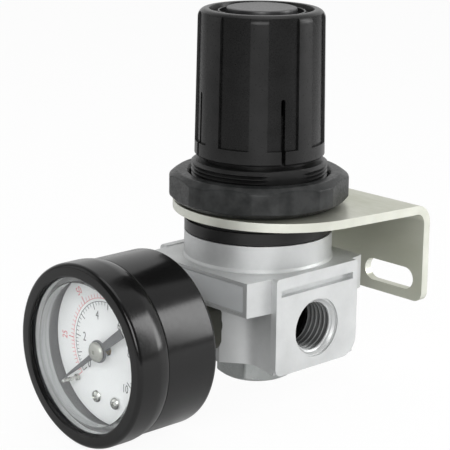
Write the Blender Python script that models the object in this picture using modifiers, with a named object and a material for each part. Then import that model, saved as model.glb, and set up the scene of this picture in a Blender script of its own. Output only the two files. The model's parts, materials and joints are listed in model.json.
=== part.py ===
"""Mini air regulator with a lift-to-turn knob, panel nut, angle bracket and pressure gauge.

Metres, +Z up. The world origin is the middle of the bracket's back face, at the height of its
two slots. Every piece hangs from an empty on the regulator's own axis, at the height of the
ports, so the sizes below are read from there: Z up the knob's axis, X through the two ports,
and -Y out towards the gauge.
"""
import math

import bmesh
import bpy
from mathutils import Matrix, Vector

# General clearances
SEAT_GAP = 0.0003
CUT_OVERRUN = 0.002
MERGE = 0.00001

# Body casting
PORT_FACE_REACH = 0.020
FLANGE_THICKNESS = 0.0018
FLANGE_FRONT = 0.0133
FLANGE_REAR = 0.0134
FLANGE_TOP = 0.0139
FLANGE_BOTTOM = 0.0093
FLANGE_FRONT_CORNER = 0.0020
FLANGE_REAR_CORNER = 0.0046
FLANGE_TOP_CORNER = 0.0008
PORT_NECK_INSET = 0.0004
PORT_NECK_START = 0.0144
PORT_NECK_STEP = 0.0010
CORE_RADIUS = 0.0166
CORE_FLAT_REACH = 0.0160
CORE_FLAT_HALF_WIDTH = 0.0040
CORE_SHOULDER_START = 0.0087
CORE_SHOULDER_DROP = 0.0036
CORE_WAIST_START = 0.0106
CORE_WAIST_DROP = 0.0045
BODY_BOTTOM = 0.0090
NECK_RADIUS = 0.0175
NECK_TOP = 0.0199
NECK_FOOT_STEP = 0.0004
NECK_FOOT_HEIGHT = 0.0006
NECK_BORE_RADIUS = 0.0156
DIAPHRAGM_SEAT_HEIGHT = 0.0140
DIAPHRAGM_CHAMBER_RADIUS = 0.0128
DIAPHRAGM_CHAMBER_FLOOR = 0.0118
RIB_HALF_LENGTH = 0.0172
RIB_FRONT_REACH = 0.0200
RIB_REAR_REACH = 0.0175
RIB_ROOT_INSET = 0.0003
RIB_BOTTOM = 0.0056
RIB_TOP = 0.0137
LABEL_RECESS_DEPTH = 0.0004
LABEL_HALF_LENGTH = 0.0160
LABEL_BOTTOM = 0.0064
LABEL_TOP = 0.0129
CLAMP_SLOT_HALF_LENGTH = 0.0118
CLAMP_SLOT_HEIGHT = 0.0016
CLAMP_SLOT_LEVEL = 0.0103
CLAMP_SLOT_DEPTH = 0.0016
PORT_BORE_RADIUS = 0.00575
PORT_MOUTH_RADIUS = 0.0066
PORT_SPOTFACE_RADIUS = 0.0070
PORT_SPOTFACE_DEPTH = 0.0005
PORT_MOUTH_DEPTH = 0.0014
PORT_BORE_DEPTH = 0.0105
GAUGE_PORT_RADIUS = 0.0046
GAUGE_PORT_DEPTH = 0.0075
VALVE_CHAMBER_RADIUS = 0.0066
VALVE_CHAMBER_TOP = 0.0022
VALVE_SEAT_RADIUS = 0.0030
VALVE_SEAT_LIP = 0.0008
VALVE_SEAT_LIP_DROP = 0.0006
OUTLET_CHAMBER_RADIUS = 0.0060
OUTLET_CHAMBER_FLOOR = 0.0045
OUTLET_CHAMBER_TOP = 0.0090
STEM_HOLE_RADIUS = 0.0015
FEEDBACK_HOLE_RADIUS = 0.0008
FEEDBACK_HOLE_OFFSET = 0.0042
INLET_PASSAGE_RADIUS = 0.0026
OUTLET_PASSAGE_RADIUS = 0.0020
GAUGE_PASSAGE_RADIUS = 0.0009
GUIDE_MOUTH_RADIUS = 0.0080
GUIDE_MOUTH_DEPTH = 0.0013

# Valve guide, valve and their spring
GUIDE_NECK_RADIUS = 0.0063
GUIDE_NECK_LENGTH = 0.0045
GUIDE_BORE_RADIUS = 0.0046
GUIDE_BORE_DEPTH = 0.0080
GUIDE_HEX_ACROSS_FLATS = 0.0170
GUIDE_HEX_HEIGHT = 0.0066
GUIDE_HEX_CORNER_RADIUS = 0.0096
GUIDE_HEX_CHAMFER = 0.0011
GUIDE_DIMPLE_RADIUS = 0.0040
GUIDE_DIMPLE_DEPTH = 0.0008
O_RING_SECTION = 0.00055
SEAL_RADIUS = 0.0046
SEAL_THICKNESS = 0.0019
STEM_RADIUS = 0.0011
STEM_FLANGE_RADIUS = 0.0048
STEM_FLANGE_THICKNESS = 0.0015
STEM_TAIL_RADIUS = 0.0019
STEM_TAIL_LENGTH = 0.0040
VALVE_SPRING_RADIUS = 0.0032
VALVE_SPRING_WIRE = 0.0006
VALVE_SPRING_TURNS = 4.5

# Diaphragm stack
DIAPHRAGM_THICKNESS = 0.0008
DIAPHRAGM_RIM_RADIUS = 0.0152
DIAPHRAGM_RIM_THICKNESS = 0.0011
DIAPHRAGM_ROLL_INNER = 0.0098
DIAPHRAGM_ROLL_OUTER = 0.0124
DIAPHRAGM_ROLL_RISE = 0.0012
RIVET_FLANGE_RADIUS = 0.0042
RIVET_FLANGE_THICKNESS = 0.0009
RIVET_RADIUS = 0.0024
RIVET_BORE_RADIUS = 0.0008
RIVET_PROUD = 0.0007
PLATE_RADIUS = 0.0092
PLATE_THICKNESS = 0.0009
PLATE_LIP_HEIGHT = 0.0008

# Bonnet
BONNET_RING_RADIUS = 0.0175
BONNET_RING_HEIGHT = 0.0028
BONNET_STEP_RADIUS = 0.0168
BONNET_SKIRT_RADIUS = 0.0153
BONNET_SKIRT_BORE = 0.0132
THREAD_RADIUS = 0.0160
THREAD_TOP = 0.0368
THREAD_FLAT_REACH = 0.0148
THREAD_FLAT_TURN = math.radians(-20.0)
SPRING_CHAMBER_RADIUS = 0.0106
SPRING_CHAMBER_START = 0.0262
SLEEVE_RADIUS = 0.0126
SLEEVE_BEAD_RADIUS = 0.0129
SLEEVE_BEAD_HEIGHT = 0.0012
SLEEVE_CEILING = 0.0463
SLEEVE_ROOF_THICKNESS = 0.0029
SLEEVE_TOP = SLEEVE_CEILING + SLEEVE_ROOF_THICKNESS
SLEEVE_BEAD_LEVEL = SLEEVE_CEILING - 0.0018
SCREW_HOLE_RADIUS = 0.0047
GUIDE_GROOVE_WIDTH = 0.0032
GUIDE_GROOVE_REACH = 0.0118
GUIDE_GROOVE_TOP = SLEEVE_CEILING - 0.0023

# Adjusting screw, its washer, the spring's nut and the main spring
SCREW_RADIUS = 0.0040
SCREW_BOTTOM = 0.0290
SCREW_COLLAR_RADIUS = 0.0064
SCREW_COLLAR_THICKNESS = 0.0018
WASHER_THICKNESS = 0.0008
WASHER_RADIUS = 0.0068
SCREW_HEX_ACROSS_FLATS = 0.0074
SCREW_TOP = 0.0620
SPRING_NUT_RADIUS = 0.0100
SPRING_NUT_HEIGHT = 0.0055
SPRING_NUT_DROP = 0.0043
SPRING_NUT_TOP = SLEEVE_CEILING - SPRING_NUT_DROP
SPRING_NUT_LUG_REACH = 0.0112
SPRING_NUT_LUG_WIDTH = 0.0024
MAIN_SPRING_RADIUS = 0.0076
MAIN_SPRING_WIRE = 0.0020
MAIN_SPRING_TURNS = 5.5

# Bracket
BRACKET_REACH = 0.0300
BRACKET_THICKNESS = 0.0021
BRACKET_HALF_WIDTH = 0.0275
BRACKET_NOSE_RADIUS = 0.0252
BRACKET_NOSE_CENTRE = 0.0066
BRACKET_SIDE_START = 0.0250
BRACKET_HOLE_RADIUS = 0.0164
BRACKET_BEND_RADIUS = 0.0048
BRACKET_FOOT = 0.0019
BRACKET_FOOT_CORNER = 0.0024
SLOT_LEVEL = 0.0070
SLOT_END_MARGIN = 0.0028
SLOT_LENGTH = 0.0154
SLOT_WIDTH = 0.0054
BRACKET_UNDERSIDE = 0.02415

# Panel nut
NUT_BORE_RADIUS = THREAD_RADIUS + SEAT_GAP
NUT_FLAT_WALL = 0.0040
NUT_CORNER_WALL = 0.0048
NUT_HEIGHT = 0.00755
NUT_TOP_FACE_WIDTH = 0.0030
NUT_TOP_CHAMFER = 0.0012
NUT_BOTTOM_FACE_WIDTH = 0.0020
NUT_BOTTOM_CHAMFER = 0.0017
NUT_TURN = math.radians(2.8)

# Knob and its cover
KNOB_BOTTOM = 0.0380
KNOB_TOP = 0.0720
KNOB_FOOT_RADIUS = 0.01525
KNOB_SHOULDER_RADIUS = 0.0147
KNOB_CROWN_WIDTH = 0.0019
KNOB_CROWN_HEIGHT = 0.0020
KNOB_SHOULDER_LEVEL = KNOB_TOP - KNOB_CROWN_HEIGHT
KNOB_RIM_RADIUS = 0.01205
KNOB_DISH_DEPTH = 0.0016
KNOB_RIDGE_RADIUS = 0.00995
KNOB_RIDGE_WIDTH = 0.0005
KNOB_RIDGE_HEIGHT = 0.0011
KNOB_SKIRT_BORE = 0.0133
KNOB_SKIRT_TOP = SLEEVE_TOP + 0.0033
KNOB_CAVITY_TOP = 0.0688
KNOB_CAVITY_RADIUS = 0.0122
KNOB_HUB_RADIUS = 0.0066
KNOB_HUB_BOTTOM = SLEEVE_TOP + 0.0046
KNOB_HUB_HEX_TOP = 0.0678
FLUTE_COUNT = 8
FLUTE_ANGLE = math.radians(29.0)
FLUTE_DEPTH = 0.00045
FLUTE_BOTTOM = 0.04145
FLUTE_TOP = 0.0714
KNOB_TURN = math.radians(-23.3)
SNAP_SLIT_COUNT = 4
SNAP_SLIT_WIDTH = 0.0010
SNAP_SLIT_TOP = 0.0532
COVER_RADIUS = 0.0082
COVER_THICKNESS = 0.0021
COVER_CROWN = 0.0003

# Pressure gauge, measured forward from the regulator's axis
GAUGE_STEM_START = 0.0091
GAUGE_STEM_RADIUS = 0.0043
GAUGE_STEM_BORE_RADIUS = 0.0013
GAUGE_STEM_BORE_END = 0.0355
GAUGE_SQUARE_START = 0.0165
GAUGE_SQUARE_WIDTH = 0.0106
GAUGE_SQUARE_CORNER_RADIUS = 0.0069
CASE_BACK = 0.0315
CASE_BACK_THICKNESS = 0.0014
CASE_RADIUS = 0.0203
CASE_BORE_RADIUS = 0.0182
CASE_BACK_EDGE = 0.0006
CASE_NOSE_RADIUS = 0.0193
CASE_NOSE_START = 0.0455
CASE_FRONT = 0.0505
STEM_POST_RADIUS = 0.0046
STEM_BLOCK_FRONT = 0.0366
STEM_BLOCK_HALF_WIDTH = 0.0042
STEM_BLOCK_DROP = 0.0166
TUBE_SOCKET_FRONT = 0.0424
TUBE_SOCKET_TOP = -0.0130
BEZEL_RADIUS = 0.0209
BEZEL_BORE_RADIUS = 0.0196
BEZEL_BACK = 0.0458
BEZEL_BACK_TAPER_LENGTH = 0.0016
BEZEL_BACK_TAPER_DEPTH = 0.0005
BEZEL_FRONT = 0.0545
BEZEL_LIP_THICKNESS = 0.0008
BEZEL_WINDOW_RADIUS = 0.0177
BEZEL_EDGE_RADIUS = 0.0010
LENS_FLANGE_RADIUS = 0.0193
LENS_THICKNESS = 0.0015
LENS_SKIRT_RADIUS = 0.0178
LENS_SKIRT_BORE = 0.0165
LENS_SKIRT_BACK = 0.0491
GASKET_BORE_RADIUS = 0.0184
DIAL_RADIUS = 0.0177
DIAL_FRONT = 0.0457
DIAL_THICKNESS = 0.0007
DIAL_HOLE_RADIUS = 0.0013
DIAL_SCREW_SPREAD = 0.0032
DIAL_SCREW_DROP = 0.0119
DIAL_SCREW_RADIUS = 0.00055
DIAL_SCREW_HOLE_RADIUS = 0.00085
DIAL_SCREW_HEAD_RADIUS = 0.0014
DIAL_SCREW_HEAD_HEIGHT = 0.0008
DIAL_SCREW_LENGTH = 0.0030
STOP_PIN_RADIUS = 0.00045
STOP_PIN_LENGTH = 0.0046
STOP_PIN_REACH = 0.0134
STOP_PIN_ANGLE = math.radians(-137.4)
POINTER_BACK = 0.0479
POINTER_THICKNESS = 0.0004
POINTER_REACH = 0.0153
POINTER_TIP_HALF_WIDTH = 0.00025
POINTER_ROOT_HALF_WIDTH = 0.00065
POINTER_TAIL_REACH = 0.0102
POINTER_TAIL_HALF_WIDTH = 0.0011
POINTER_HUB_RADIUS = 0.0026
POINTER_ANGLE = math.radians(-142.6)
BOSS_RADIUS = 0.0023
BOSS_HEIGHT = 0.0009
BOSS_TUBE_RADIUS = 0.0011
BOSS_BORE_RADIUS = 0.00065
POINTER_HOLE_RADIUS = 0.0014

# Gauge movement
ARBOR_RADIUS = 0.00035
MOVEMENT_BACK_PLATE = 0.0369
MOVEMENT_PLATE_THICKNESS = 0.0007
MOVEMENT_FRONT_PLATE = 0.0433
MOVEMENT_PLATE_HOLE_RADIUS = 0.00065
PILLAR_SPREAD = 0.0083
PILLAR_DROP = 0.0020
PILLAR_RADIUS = 0.0009
MOVEMENT_PLATE_HALF_WIDTH = 0.0098
MOVEMENT_PLATE_TOP = 0.0020
MOVEMENT_BACK_PLATE_BOTTOM = 0.0095
MOVEMENT_FRONT_PLATE_BOTTOM = 0.0137
GEAR_PLANE = 0.0403
GEAR_THICKNESS = 0.0008
GEAR_MODULE = 0.0003
PINION_TEETH = 10
SECTOR_FULL_TEETH = 40
SECTOR_TEETH = 11
TOOTH_FILL = 0.40
TOOTH_ADDENDUM = 0.00022
TOOTH_DEDENDUM = 0.00036
POINTER_SWEEP = math.radians(270.0)
SECTOR_TAIL_REACH = 0.0035
SECTOR_TAIL_ANGLE = math.radians(236.0)
LINK_PLANE = 0.0388
LINK_THICKNESS = 0.0006
LINK_WIDTH = 0.0013
LINK_PIN_RADIUS = 0.00030
LINK_HOLE_RADIUS = 0.00060
LINK_REACH = 0.0125
LINK_RISE = 0.0026
TUBE_RADIUS = 0.0152
TUBE_HALF_DEPTH = 0.0022
TUBE_HALF_WIDTH = 0.0010
TUBE_PLANE = 0.0400
TUBE_START_ANGLE = math.radians(251.0)
TUBE_END_ANGLE = math.radians(-8.0)
TUBE_TIP_WIDTH = 0.0016
TUBE_TIP_THICKNESS = 0.0008
TUBE_TIP_PLANE = 0.0397

TURN_STEPS = 48
SMALL_STEPS = 20
PIN_STEPS = 12

PARTS = "mini_air_regulator"
TOOLS = "shaping_tools"
FORWARD = Matrix.Rotation(math.pi / 2, 4, "X")
REARWARD = Matrix.Rotation(-math.pi / 2, 4, "X")
RIGHTWARD = Matrix.Rotation(math.pi / 2, 4, "Y")
LEFTWARD = Matrix.Rotation(-math.pi / 2, 4, "Y")
UPRIGHT = Matrix.Identity(4)


def clear_scene():
    for thing in list(bpy.data.objects):
        bpy.data.objects.remove(thing, do_unlink=True)


def new_collection(name):
    made = bpy.data.collections.new(name)
    bpy.context.scene.collection.children.link(made)
    return made


def material(name, colour, roughness, metallic=0.0, alpha=1.0):
    made = bpy.data.materials.new(name)
    made.use_nodes = True
    shader = made.node_tree.nodes["Principled BSDF"]
    shader.inputs["Base Color"].default_value = (*colour, 1.0)
    shader.inputs["Roughness"].default_value = roughness
    shader.inputs["Metallic"].default_value = metallic
    shader.inputs["Alpha"].default_value = alpha
    return made


def add_object(name, mesh, finish=None, frame=UPRIGHT):
    """Link a mesh as a part, or as a shaping tool when it has no finish."""
    made = bpy.data.objects.new(name, mesh)
    home = TOOLS if finish is None else PARTS
    bpy.data.collections[home].objects.link(made)
    made.parent = bpy.data.objects["regulator_axis"]
    made.matrix_local = frame
    if finish is None:
        made.hide_render = True
        made.display_type = "WIRE"
    else:
        mesh.materials.append(bpy.data.materials[finish])
        mesh.shade_smooth()
        mesh.set_sharp_from_angle(angle=math.radians(32))
    return made


def turned(name, profile, finish=None, steps=TURN_STEPS, ring=False, frame=UPRIGHT):
    """Turn a profile about local Z: points of radius and height, down the outer side first."""
    mesh = bpy.data.meshes.new(name)
    outline = bmesh.new()
    points = [outline.verts.new((radius, 0.0, height)) for radius, height in profile]
    for first, second in zip(points, points[1:]):
        outline.edges.new((first, second))
    if ring:
        outline.edges.new((points[-1], points[0]))
    outline.to_mesh(mesh)
    outline.free()
    made = add_object(name, mesh, finish, frame)
    spin = made.modifiers.new("turn", "SCREW")
    spin.axis = "Z"
    spin.steps = steps
    spin.render_steps = steps
    spin.use_merge_vertices = True
    spin.merge_threshold = MERGE
    spin.use_smooth_shade = finish is not None
    return made


def rod(name, radius, low, high, finish=None, steps=SMALL_STEPS, frame=UPRIGHT):
    return turned(name, [(0, high), (radius, high), (radius, low), (0, low)], finish, steps, False, frame)


def tube_profile(outer, inner, low, high):
    return [(outer, high), (outer, low), (inner, low), (inner, high)]


def arc(centre, radius, start, end, count):
    """Points along an arc of a flat outline, both ends included."""
    span = end - start
    return [
        (centre[0] + radius * math.cos(start + span * k / count),
         centre[1] + radius * math.sin(start + span * k / count))
        for k in range(count + 1)
    ]


def rounded_rectangle(left, right, bottom, top, corners, count=4):
    """Counter-clockwise outline; corners are the radii from bottom left round to top left."""
    quarter = math.pi / 2
    low_left, low_right, high_right, high_left = corners
    points = arc((left + low_left, bottom + low_left), low_left, 2 * quarter, 3 * quarter, count)
    points += arc((right - low_right, bottom + low_right), low_right, -quarter, 0, count)
    points += arc((right - high_right, top - high_right), high_right, 0, quarter, count)
    points += arc((left + high_left, top - high_left), high_left, quarter, 2 * quarter, count)
    return points


def polygon(sides, across_flats, turn=0.0):
    """Regular outline whose first corner lies at the turn angle."""
    corner = across_flats / 2 / math.cos(math.pi / sides)
    return [
        (corner * math.cos(turn + 2 * math.pi * k / sides), corner * math.sin(turn + 2 * math.pi * k / sides))
        for k in range(sides)
    ]


def flat_mesh(name, outlines, low, high):
    """Extrude flat outlines between two heights, as one mesh with welded caps."""
    sketch = bpy.data.curves.new(name + "_outline", "CURVE")
    sketch.dimensions = "2D"
    sketch.fill_mode = "BOTH"
    sketch.extrude = (high - low) / 2
    for outline in outlines:
        spline = sketch.splines.new("POLY")
        spline.points.add(len(outline) - 1)
        for point, (x, y) in zip(spline.points, outline):
            point.co = (x, y, 0, 1)
        spline.use_cyclic_u = True
    drawn = bpy.data.objects.new(name + "_outline", sketch)
    bpy.context.scene.collection.objects.link(drawn)
    depsgraph = bpy.context.evaluated_depsgraph_get()
    mesh = bpy.data.meshes.new_from_object(drawn.evaluated_get(depsgraph))
    bpy.data.objects.remove(drawn)
    bpy.data.curves.remove(sketch)
    mesh.name = name
    shaped = bmesh.new()
    shaped.from_mesh(mesh)
    bmesh.ops.remove_doubles(shaped, verts=shaped.verts, dist=MERGE / 10)
    bmesh.ops.translate(shaped, verts=shaped.verts, vec=(0, 0, (high + low) / 2))
    bmesh.ops.recalc_face_normals(shaped, faces=shaped.faces)
    shaped.to_mesh(mesh)
    shaped.free()
    return mesh


def flat(name, outlines, low, high, finish=None, frame=UPRIGHT):
    return add_object(name, flat_mesh(name, outlines, low, high), finish, frame)


def block(name, low, high, finish=None, frame=UPRIGHT):
    """Box between two opposite corners."""
    mesh = bpy.data.meshes.new(name)
    shaped = bmesh.new()
    bmesh.ops.create_cube(shaped, size=1.0)
    middle = [(a + b) / 2 for a, b in zip(low, high)]
    size = [b - a for a, b in zip(low, high)]
    bmesh.ops.scale(shaped, verts=shaped.verts, vec=size)
    bmesh.ops.translate(shaped, verts=shaped.verts, vec=middle)
    shaped.to_mesh(mesh)
    shaped.free()
    return add_object(name, mesh, finish, frame)


def joined(name, tools, frame=UPRIGHT):
    """One shaping tool from several that don't touch."""
    mesh = bpy.data.meshes.new(name)
    shaped = bmesh.new()
    for tool in tools:
        piece = tool.data.copy()
        piece.transform(tool.matrix_local)
        shaped.from_mesh(piece)
        bpy.data.meshes.remove(piece)
        bpy.data.objects.remove(tool)
    shaped.to_mesh(mesh)
    shaped.free()
    return add_object(name, mesh, None, frame)


def combine(target, tool, operation):
    change = target.modifiers.new(operation.lower() + "_" + tool.name, "BOOLEAN")
    change.operation = operation
    change.solver = "EXACT"
    change.object = tool


def cut(target, *tools):
    for tool in tools:
        combine(target, tool, "DIFFERENCE")


def union(target, *tools):
    for tool in tools:
        combine(target, tool, "UNION")


def keep_inside(target, *tools):
    for tool in tools:
        combine(target, tool, "INTERSECT")


def wire_mesh(name, points, radius, sides_setting, finish, frame=UPRIGHT):
    """Round wire through the points, as a curve with filled ends."""
    route = bpy.data.curves.new(name, "CURVE")
    route.dimensions = "3D"
    route.bevel_depth = radius
    route.bevel_resolution = sides_setting
    route.use_fill_caps = True
    spline = route.splines.new("POLY")
    spline.points.add(len(points) - 1)
    for point, place in zip(spline.points, points):
        point.co = (*place, 1)
    route.materials.append(bpy.data.materials[finish])
    made = bpy.data.objects.new(name, route)
    bpy.data.collections[PARTS].objects.link(made)
    made.parent = bpy.data.objects["regulator_axis"]
    made.matrix_local = frame
    return made


def helix(radius, low, high, turns, per_turn):
    count = round(turns * per_turn)
    return [
        (radius * math.cos(2 * math.pi * turns * k / count),
         radius * math.sin(2 * math.pi * turns * k / count),
         low + (high - low) * k / count)
        for k in range(count + 1)
    ]


def turned_about_z(angle):
    return Matrix.Rotation(angle, 4, "Z")


def add_materials():
    material("die_cast_aluminium", (0.68, 0.69, 0.69), 0.45, 0.9)
    material("bonnet_black", (0.022, 0.022, 0.024), 0.45)
    material("nut_black", (0.03, 0.03, 0.032), 0.5)
    material("knob_black", (0.025, 0.025, 0.027), 0.42)
    material("cover_black", (0.03, 0.03, 0.03), 0.35)
    material("zinc_plate", (0.70, 0.70, 0.62), 0.35, 1.0)
    material("guide_aluminium", (0.55, 0.57, 0.55), 0.4, 1.0)
    material("brass", (0.72, 0.56, 0.28), 0.35, 1.0)
    material("steel", (0.55, 0.55, 0.55), 0.35, 1.0)
    material("spring_steel", (0.5, 0.5, 0.48), 0.3, 1.0)
    material("seal_rubber", (0.02, 0.02, 0.02), 0.7)
    material("gauge_black", (0.02, 0.02, 0.022), 0.25)
    material("lens_clear", (0.92, 0.94, 0.94), 0.05, 0.0, 0.3)
    material("dial_white", (0.86, 0.87, 0.87), 0.5)
    material("pointer_grey", (0.12, 0.12, 0.13), 0.5)
    material("nickel", (0.7, 0.7, 0.66), 0.3, 1.0)


def core_quarter(flange_reach):
    """Plan of a quarter of the body under the ribs, from the middle flat out to a port flange."""
    flange_inner = PORT_FACE_REACH - FLANGE_THICKNESS
    neck_reach = flange_reach - PORT_NECK_INSET
    return [
        (CORE_FLAT_HALF_WIDTH, CORE_FLAT_REACH),
        (CORE_SHOULDER_START, CORE_FLAT_REACH - CORE_SHOULDER_DROP),
        (CORE_WAIST_START, CORE_FLAT_REACH - CORE_WAIST_DROP),
        (PORT_NECK_START, neck_reach - PORT_NECK_STEP),
        ((PORT_NECK_START + flange_inner) / 2, neck_reach - PORT_NECK_STEP * 0.65),
        (flange_inner, neck_reach),
        (flange_inner + FLANGE_THICKNESS / 2, neck_reach),
    ]


def core_plan():
    """Counter-clockwise plan of the body under the ribs, with its two tapered port necks."""
    front = core_quarter(FLANGE_FRONT)
    rear = core_quarter(FLANGE_REAR)
    outline = [(x, -y) for x, y in front] + [(x, y) for x, y in reversed(rear)]
    return outline + [(-x, y) for x, y in rear] + [(-x, -y) for x, y in reversed(front)]


def rib_plan():
    """Plan of the front and rear ribs, which widen towards the port flanges."""
    flange_inner = PORT_FACE_REACH - FLANGE_THICKNESS
    root = flange_inner + FLANGE_THICKNESS / 2
    front_root = FLANGE_FRONT - RIB_ROOT_INSET
    rear_root = FLANGE_REAR - RIB_ROOT_INSET
    right = [
        (RIB_HALF_LENGTH, -RIB_FRONT_REACH),
        (flange_inner, -front_root),
        (root, -front_root),
        (root, rear_root),
        (flange_inner, rear_root),
        (RIB_HALF_LENGTH, RIB_REAR_REACH),
    ]
    return right + [(-x, y) for x, y in reversed(right)]


def port_flange(side):
    outline = rounded_rectangle(
        -FLANGE_FRONT, FLANGE_REAR, -FLANGE_BOTTOM, FLANGE_TOP,
        (FLANGE_FRONT_CORNER, FLANGE_REAR_CORNER, FLANGE_TOP_CORNER, FLANGE_TOP_CORNER))
    # The outline is drawn in Y and Z, then stood up across X
    stand = Matrix(((0, 0, 1, 0), (1, 0, 0, 0), (0, 1, 0, 0), (0, 0, 0, 1)))
    inner = PORT_FACE_REACH - FLANGE_THICKNESS
    low, high = (inner, PORT_FACE_REACH) if side > 0 else (-PORT_FACE_REACH, -inner)
    return flat("port_flange_right" if side > 0 else "port_flange_left", [outline], low, high, None, stand)


def port_cutter(name, frame):
    face = PORT_FACE_REACH
    profile = [
        (0, face + CUT_OVERRUN),
        (PORT_SPOTFACE_RADIUS, face + CUT_OVERRUN),
        (PORT_SPOTFACE_RADIUS, face - PORT_SPOTFACE_DEPTH),
        (PORT_MOUTH_RADIUS, face - PORT_SPOTFACE_DEPTH),
        (PORT_BORE_RADIUS, face - PORT_MOUTH_DEPTH),
        (PORT_BORE_RADIUS, face - PORT_BORE_DEPTH),
        (0, face - PORT_BORE_DEPTH - PORT_BORE_RADIUS * 0.25),
    ]
    return turned(name, profile, None, 32, False, frame)


def slanted_passage(name, start, end, radius):
    """Round cutter between two points given on the regulator's axes."""
    start = Vector(start)
    end = Vector(end)
    along = end - start
    turn = along.to_track_quat("Z", "Y").to_matrix().to_4x4()
    return rod(name, radius, 0, along.length, None, PIN_STEPS, Matrix.Translation(start) @ turn)


def make_body():
    body = flat("body", [core_plan()], -BODY_BOTTOM, FLANGE_TOP - NECK_FOOT_HEIGHT, "die_cast_aluminium")
    ribs = flat("ribs", [rib_plan()], RIB_BOTTOM, RIB_TOP)
    core_low = (RIB_BOTTOM + RIB_TOP) / 2
    neck = turned("neck", [
        (0, NECK_TOP),
        (NECK_RADIUS, NECK_TOP),
        (NECK_RADIUS, FLANGE_TOP + NECK_FOOT_HEIGHT),
        (NECK_RADIUS + NECK_FOOT_STEP, FLANGE_TOP),
        (NECK_RADIUS + NECK_FOOT_STEP, RIB_TOP - NECK_FOOT_HEIGHT),
        (CORE_RADIUS, RIB_TOP - NECK_FOOT_HEIGHT * 3),
        (CORE_RADIUS, core_low),
        (0, core_low),
    ])
    union(body, ribs, neck, port_flange(-1), port_flange(1))

    label_recess = block(
        "label_recess", (-LABEL_HALF_LENGTH, -RIB_FRONT_REACH - CUT_OVERRUN, LABEL_BOTTOM),
        (LABEL_HALF_LENGTH, -RIB_FRONT_REACH + LABEL_RECESS_DEPTH, LABEL_TOP))
    cut(body, label_recess)
    for side, frame in ((-1, LEFTWARD), (1, RIGHTWARD)):
        word = "right" if side > 0 else "left"
        inner = side * (PORT_FACE_REACH - CLAMP_SLOT_DEPTH)
        outer = side * (PORT_FACE_REACH + CUT_OVERRUN)
        clamp_slot = block(
            "clamp_slot_" + word,
            (min(inner, outer), -CLAMP_SLOT_HALF_LENGTH, CLAMP_SLOT_LEVEL - CLAMP_SLOT_HEIGHT / 2),
            (max(inner, outer), CLAMP_SLOT_HALF_LENGTH, CLAMP_SLOT_LEVEL + CLAMP_SLOT_HEIGHT / 2))
        cut(body, clamp_slot, port_cutter("port_bore_" + word, frame))

    lip_inner = VALVE_SEAT_RADIUS
    lip_outer = VALVE_SEAT_RADIUS + VALVE_SEAT_LIP
    valve_chamber = turned("valve_chamber", [
        (0, VALVE_CHAMBER_TOP - VALVE_SEAT_LIP_DROP),
        (lip_outer, VALVE_CHAMBER_TOP - VALVE_SEAT_LIP_DROP),
        (lip_outer, VALVE_CHAMBER_TOP),
        (VALVE_CHAMBER_RADIUS, VALVE_CHAMBER_TOP),
        (VALVE_CHAMBER_RADIUS, -BODY_BOTTOM + GUIDE_MOUTH_DEPTH),
        (GUIDE_MOUTH_RADIUS, -BODY_BOTTOM + GUIDE_MOUTH_DEPTH),
        (GUIDE_MOUTH_RADIUS, -BODY_BOTTOM - CUT_OVERRUN),
        (0, -BODY_BOTTOM - CUT_OVERRUN),
    ], None, 24)
    upper_chambers = turned("upper_chambers", [
        (0, NECK_TOP + CUT_OVERRUN),
        (NECK_BORE_RADIUS, NECK_TOP + CUT_OVERRUN),
        (NECK_BORE_RADIUS, DIAPHRAGM_SEAT_HEIGHT),
        (DIAPHRAGM_CHAMBER_RADIUS, DIAPHRAGM_SEAT_HEIGHT),
        (DIAPHRAGM_CHAMBER_RADIUS, DIAPHRAGM_CHAMBER_FLOOR),
        (STEM_HOLE_RADIUS, DIAPHRAGM_CHAMBER_FLOOR),
        (STEM_HOLE_RADIUS, OUTLET_CHAMBER_TOP),
        (OUTLET_CHAMBER_RADIUS, OUTLET_CHAMBER_TOP),
        (OUTLET_CHAMBER_RADIUS, OUTLET_CHAMBER_FLOOR),
        (lip_inner, OUTLET_CHAMBER_FLOOR),
        (lip_inner, VALVE_CHAMBER_TOP - VALVE_SEAT_LIP_DROP * 2),
        (0, VALVE_CHAMBER_TOP - VALVE_SEAT_LIP_DROP * 2),
    ], None, 32)
    feedback = rod(
        "feedback_hole", FEEDBACK_HOLE_RADIUS, OUTLET_CHAMBER_TOP - CUT_OVERRUN,
        DIAPHRAGM_CHAMBER_FLOOR + CUT_OVERRUN / 2, None, PIN_STEPS,
        Matrix.Translation((0, FEEDBACK_HOLE_OFFSET, 0)))
    bore_end = PORT_FACE_REACH - PORT_BORE_DEPTH
    inlet = slanted_passage(
        "inlet_passage", (-bore_end - 0.0012, 0, -0.0015), (-VALVE_CHAMBER_RADIUS + 0.0014, 0, -0.0015),
        INLET_PASSAGE_RADIUS)
    outlet = slanted_passage(
        "outlet_passage", (bore_end + 0.0015, 0, 0.0035),
        (OUTLET_CHAMBER_RADIUS - 0.0015, 0, OUTLET_CHAMBER_TOP - OUTLET_PASSAGE_RADIUS * 0.7),
        OUTLET_PASSAGE_RADIUS)
    cut(body, valve_chamber, upper_chambers, feedback, inlet, outlet)
    for word, frame, way in (("front", FORWARD, -1), ("rear", REARWARD, 1)):
        depth_end = CORE_FLAT_REACH - GAUGE_PORT_DEPTH
        gauge_port = rod(
            "gauge_port_" + word, GAUGE_PORT_RADIUS, depth_end, CORE_FLAT_REACH + CUT_OVERRUN, None, 24, frame)
        passage = slanted_passage(
            "gauge_passage_" + word, (0, way * (depth_end + 0.0010), 0.0015),
            (0, way * 0.0045, OUTLET_CHAMBER_FLOOR + OUTLET_PASSAGE_RADIUS), GAUGE_PASSAGE_RADIUS)
        cut(body, gauge_port, passage)
    return body


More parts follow.
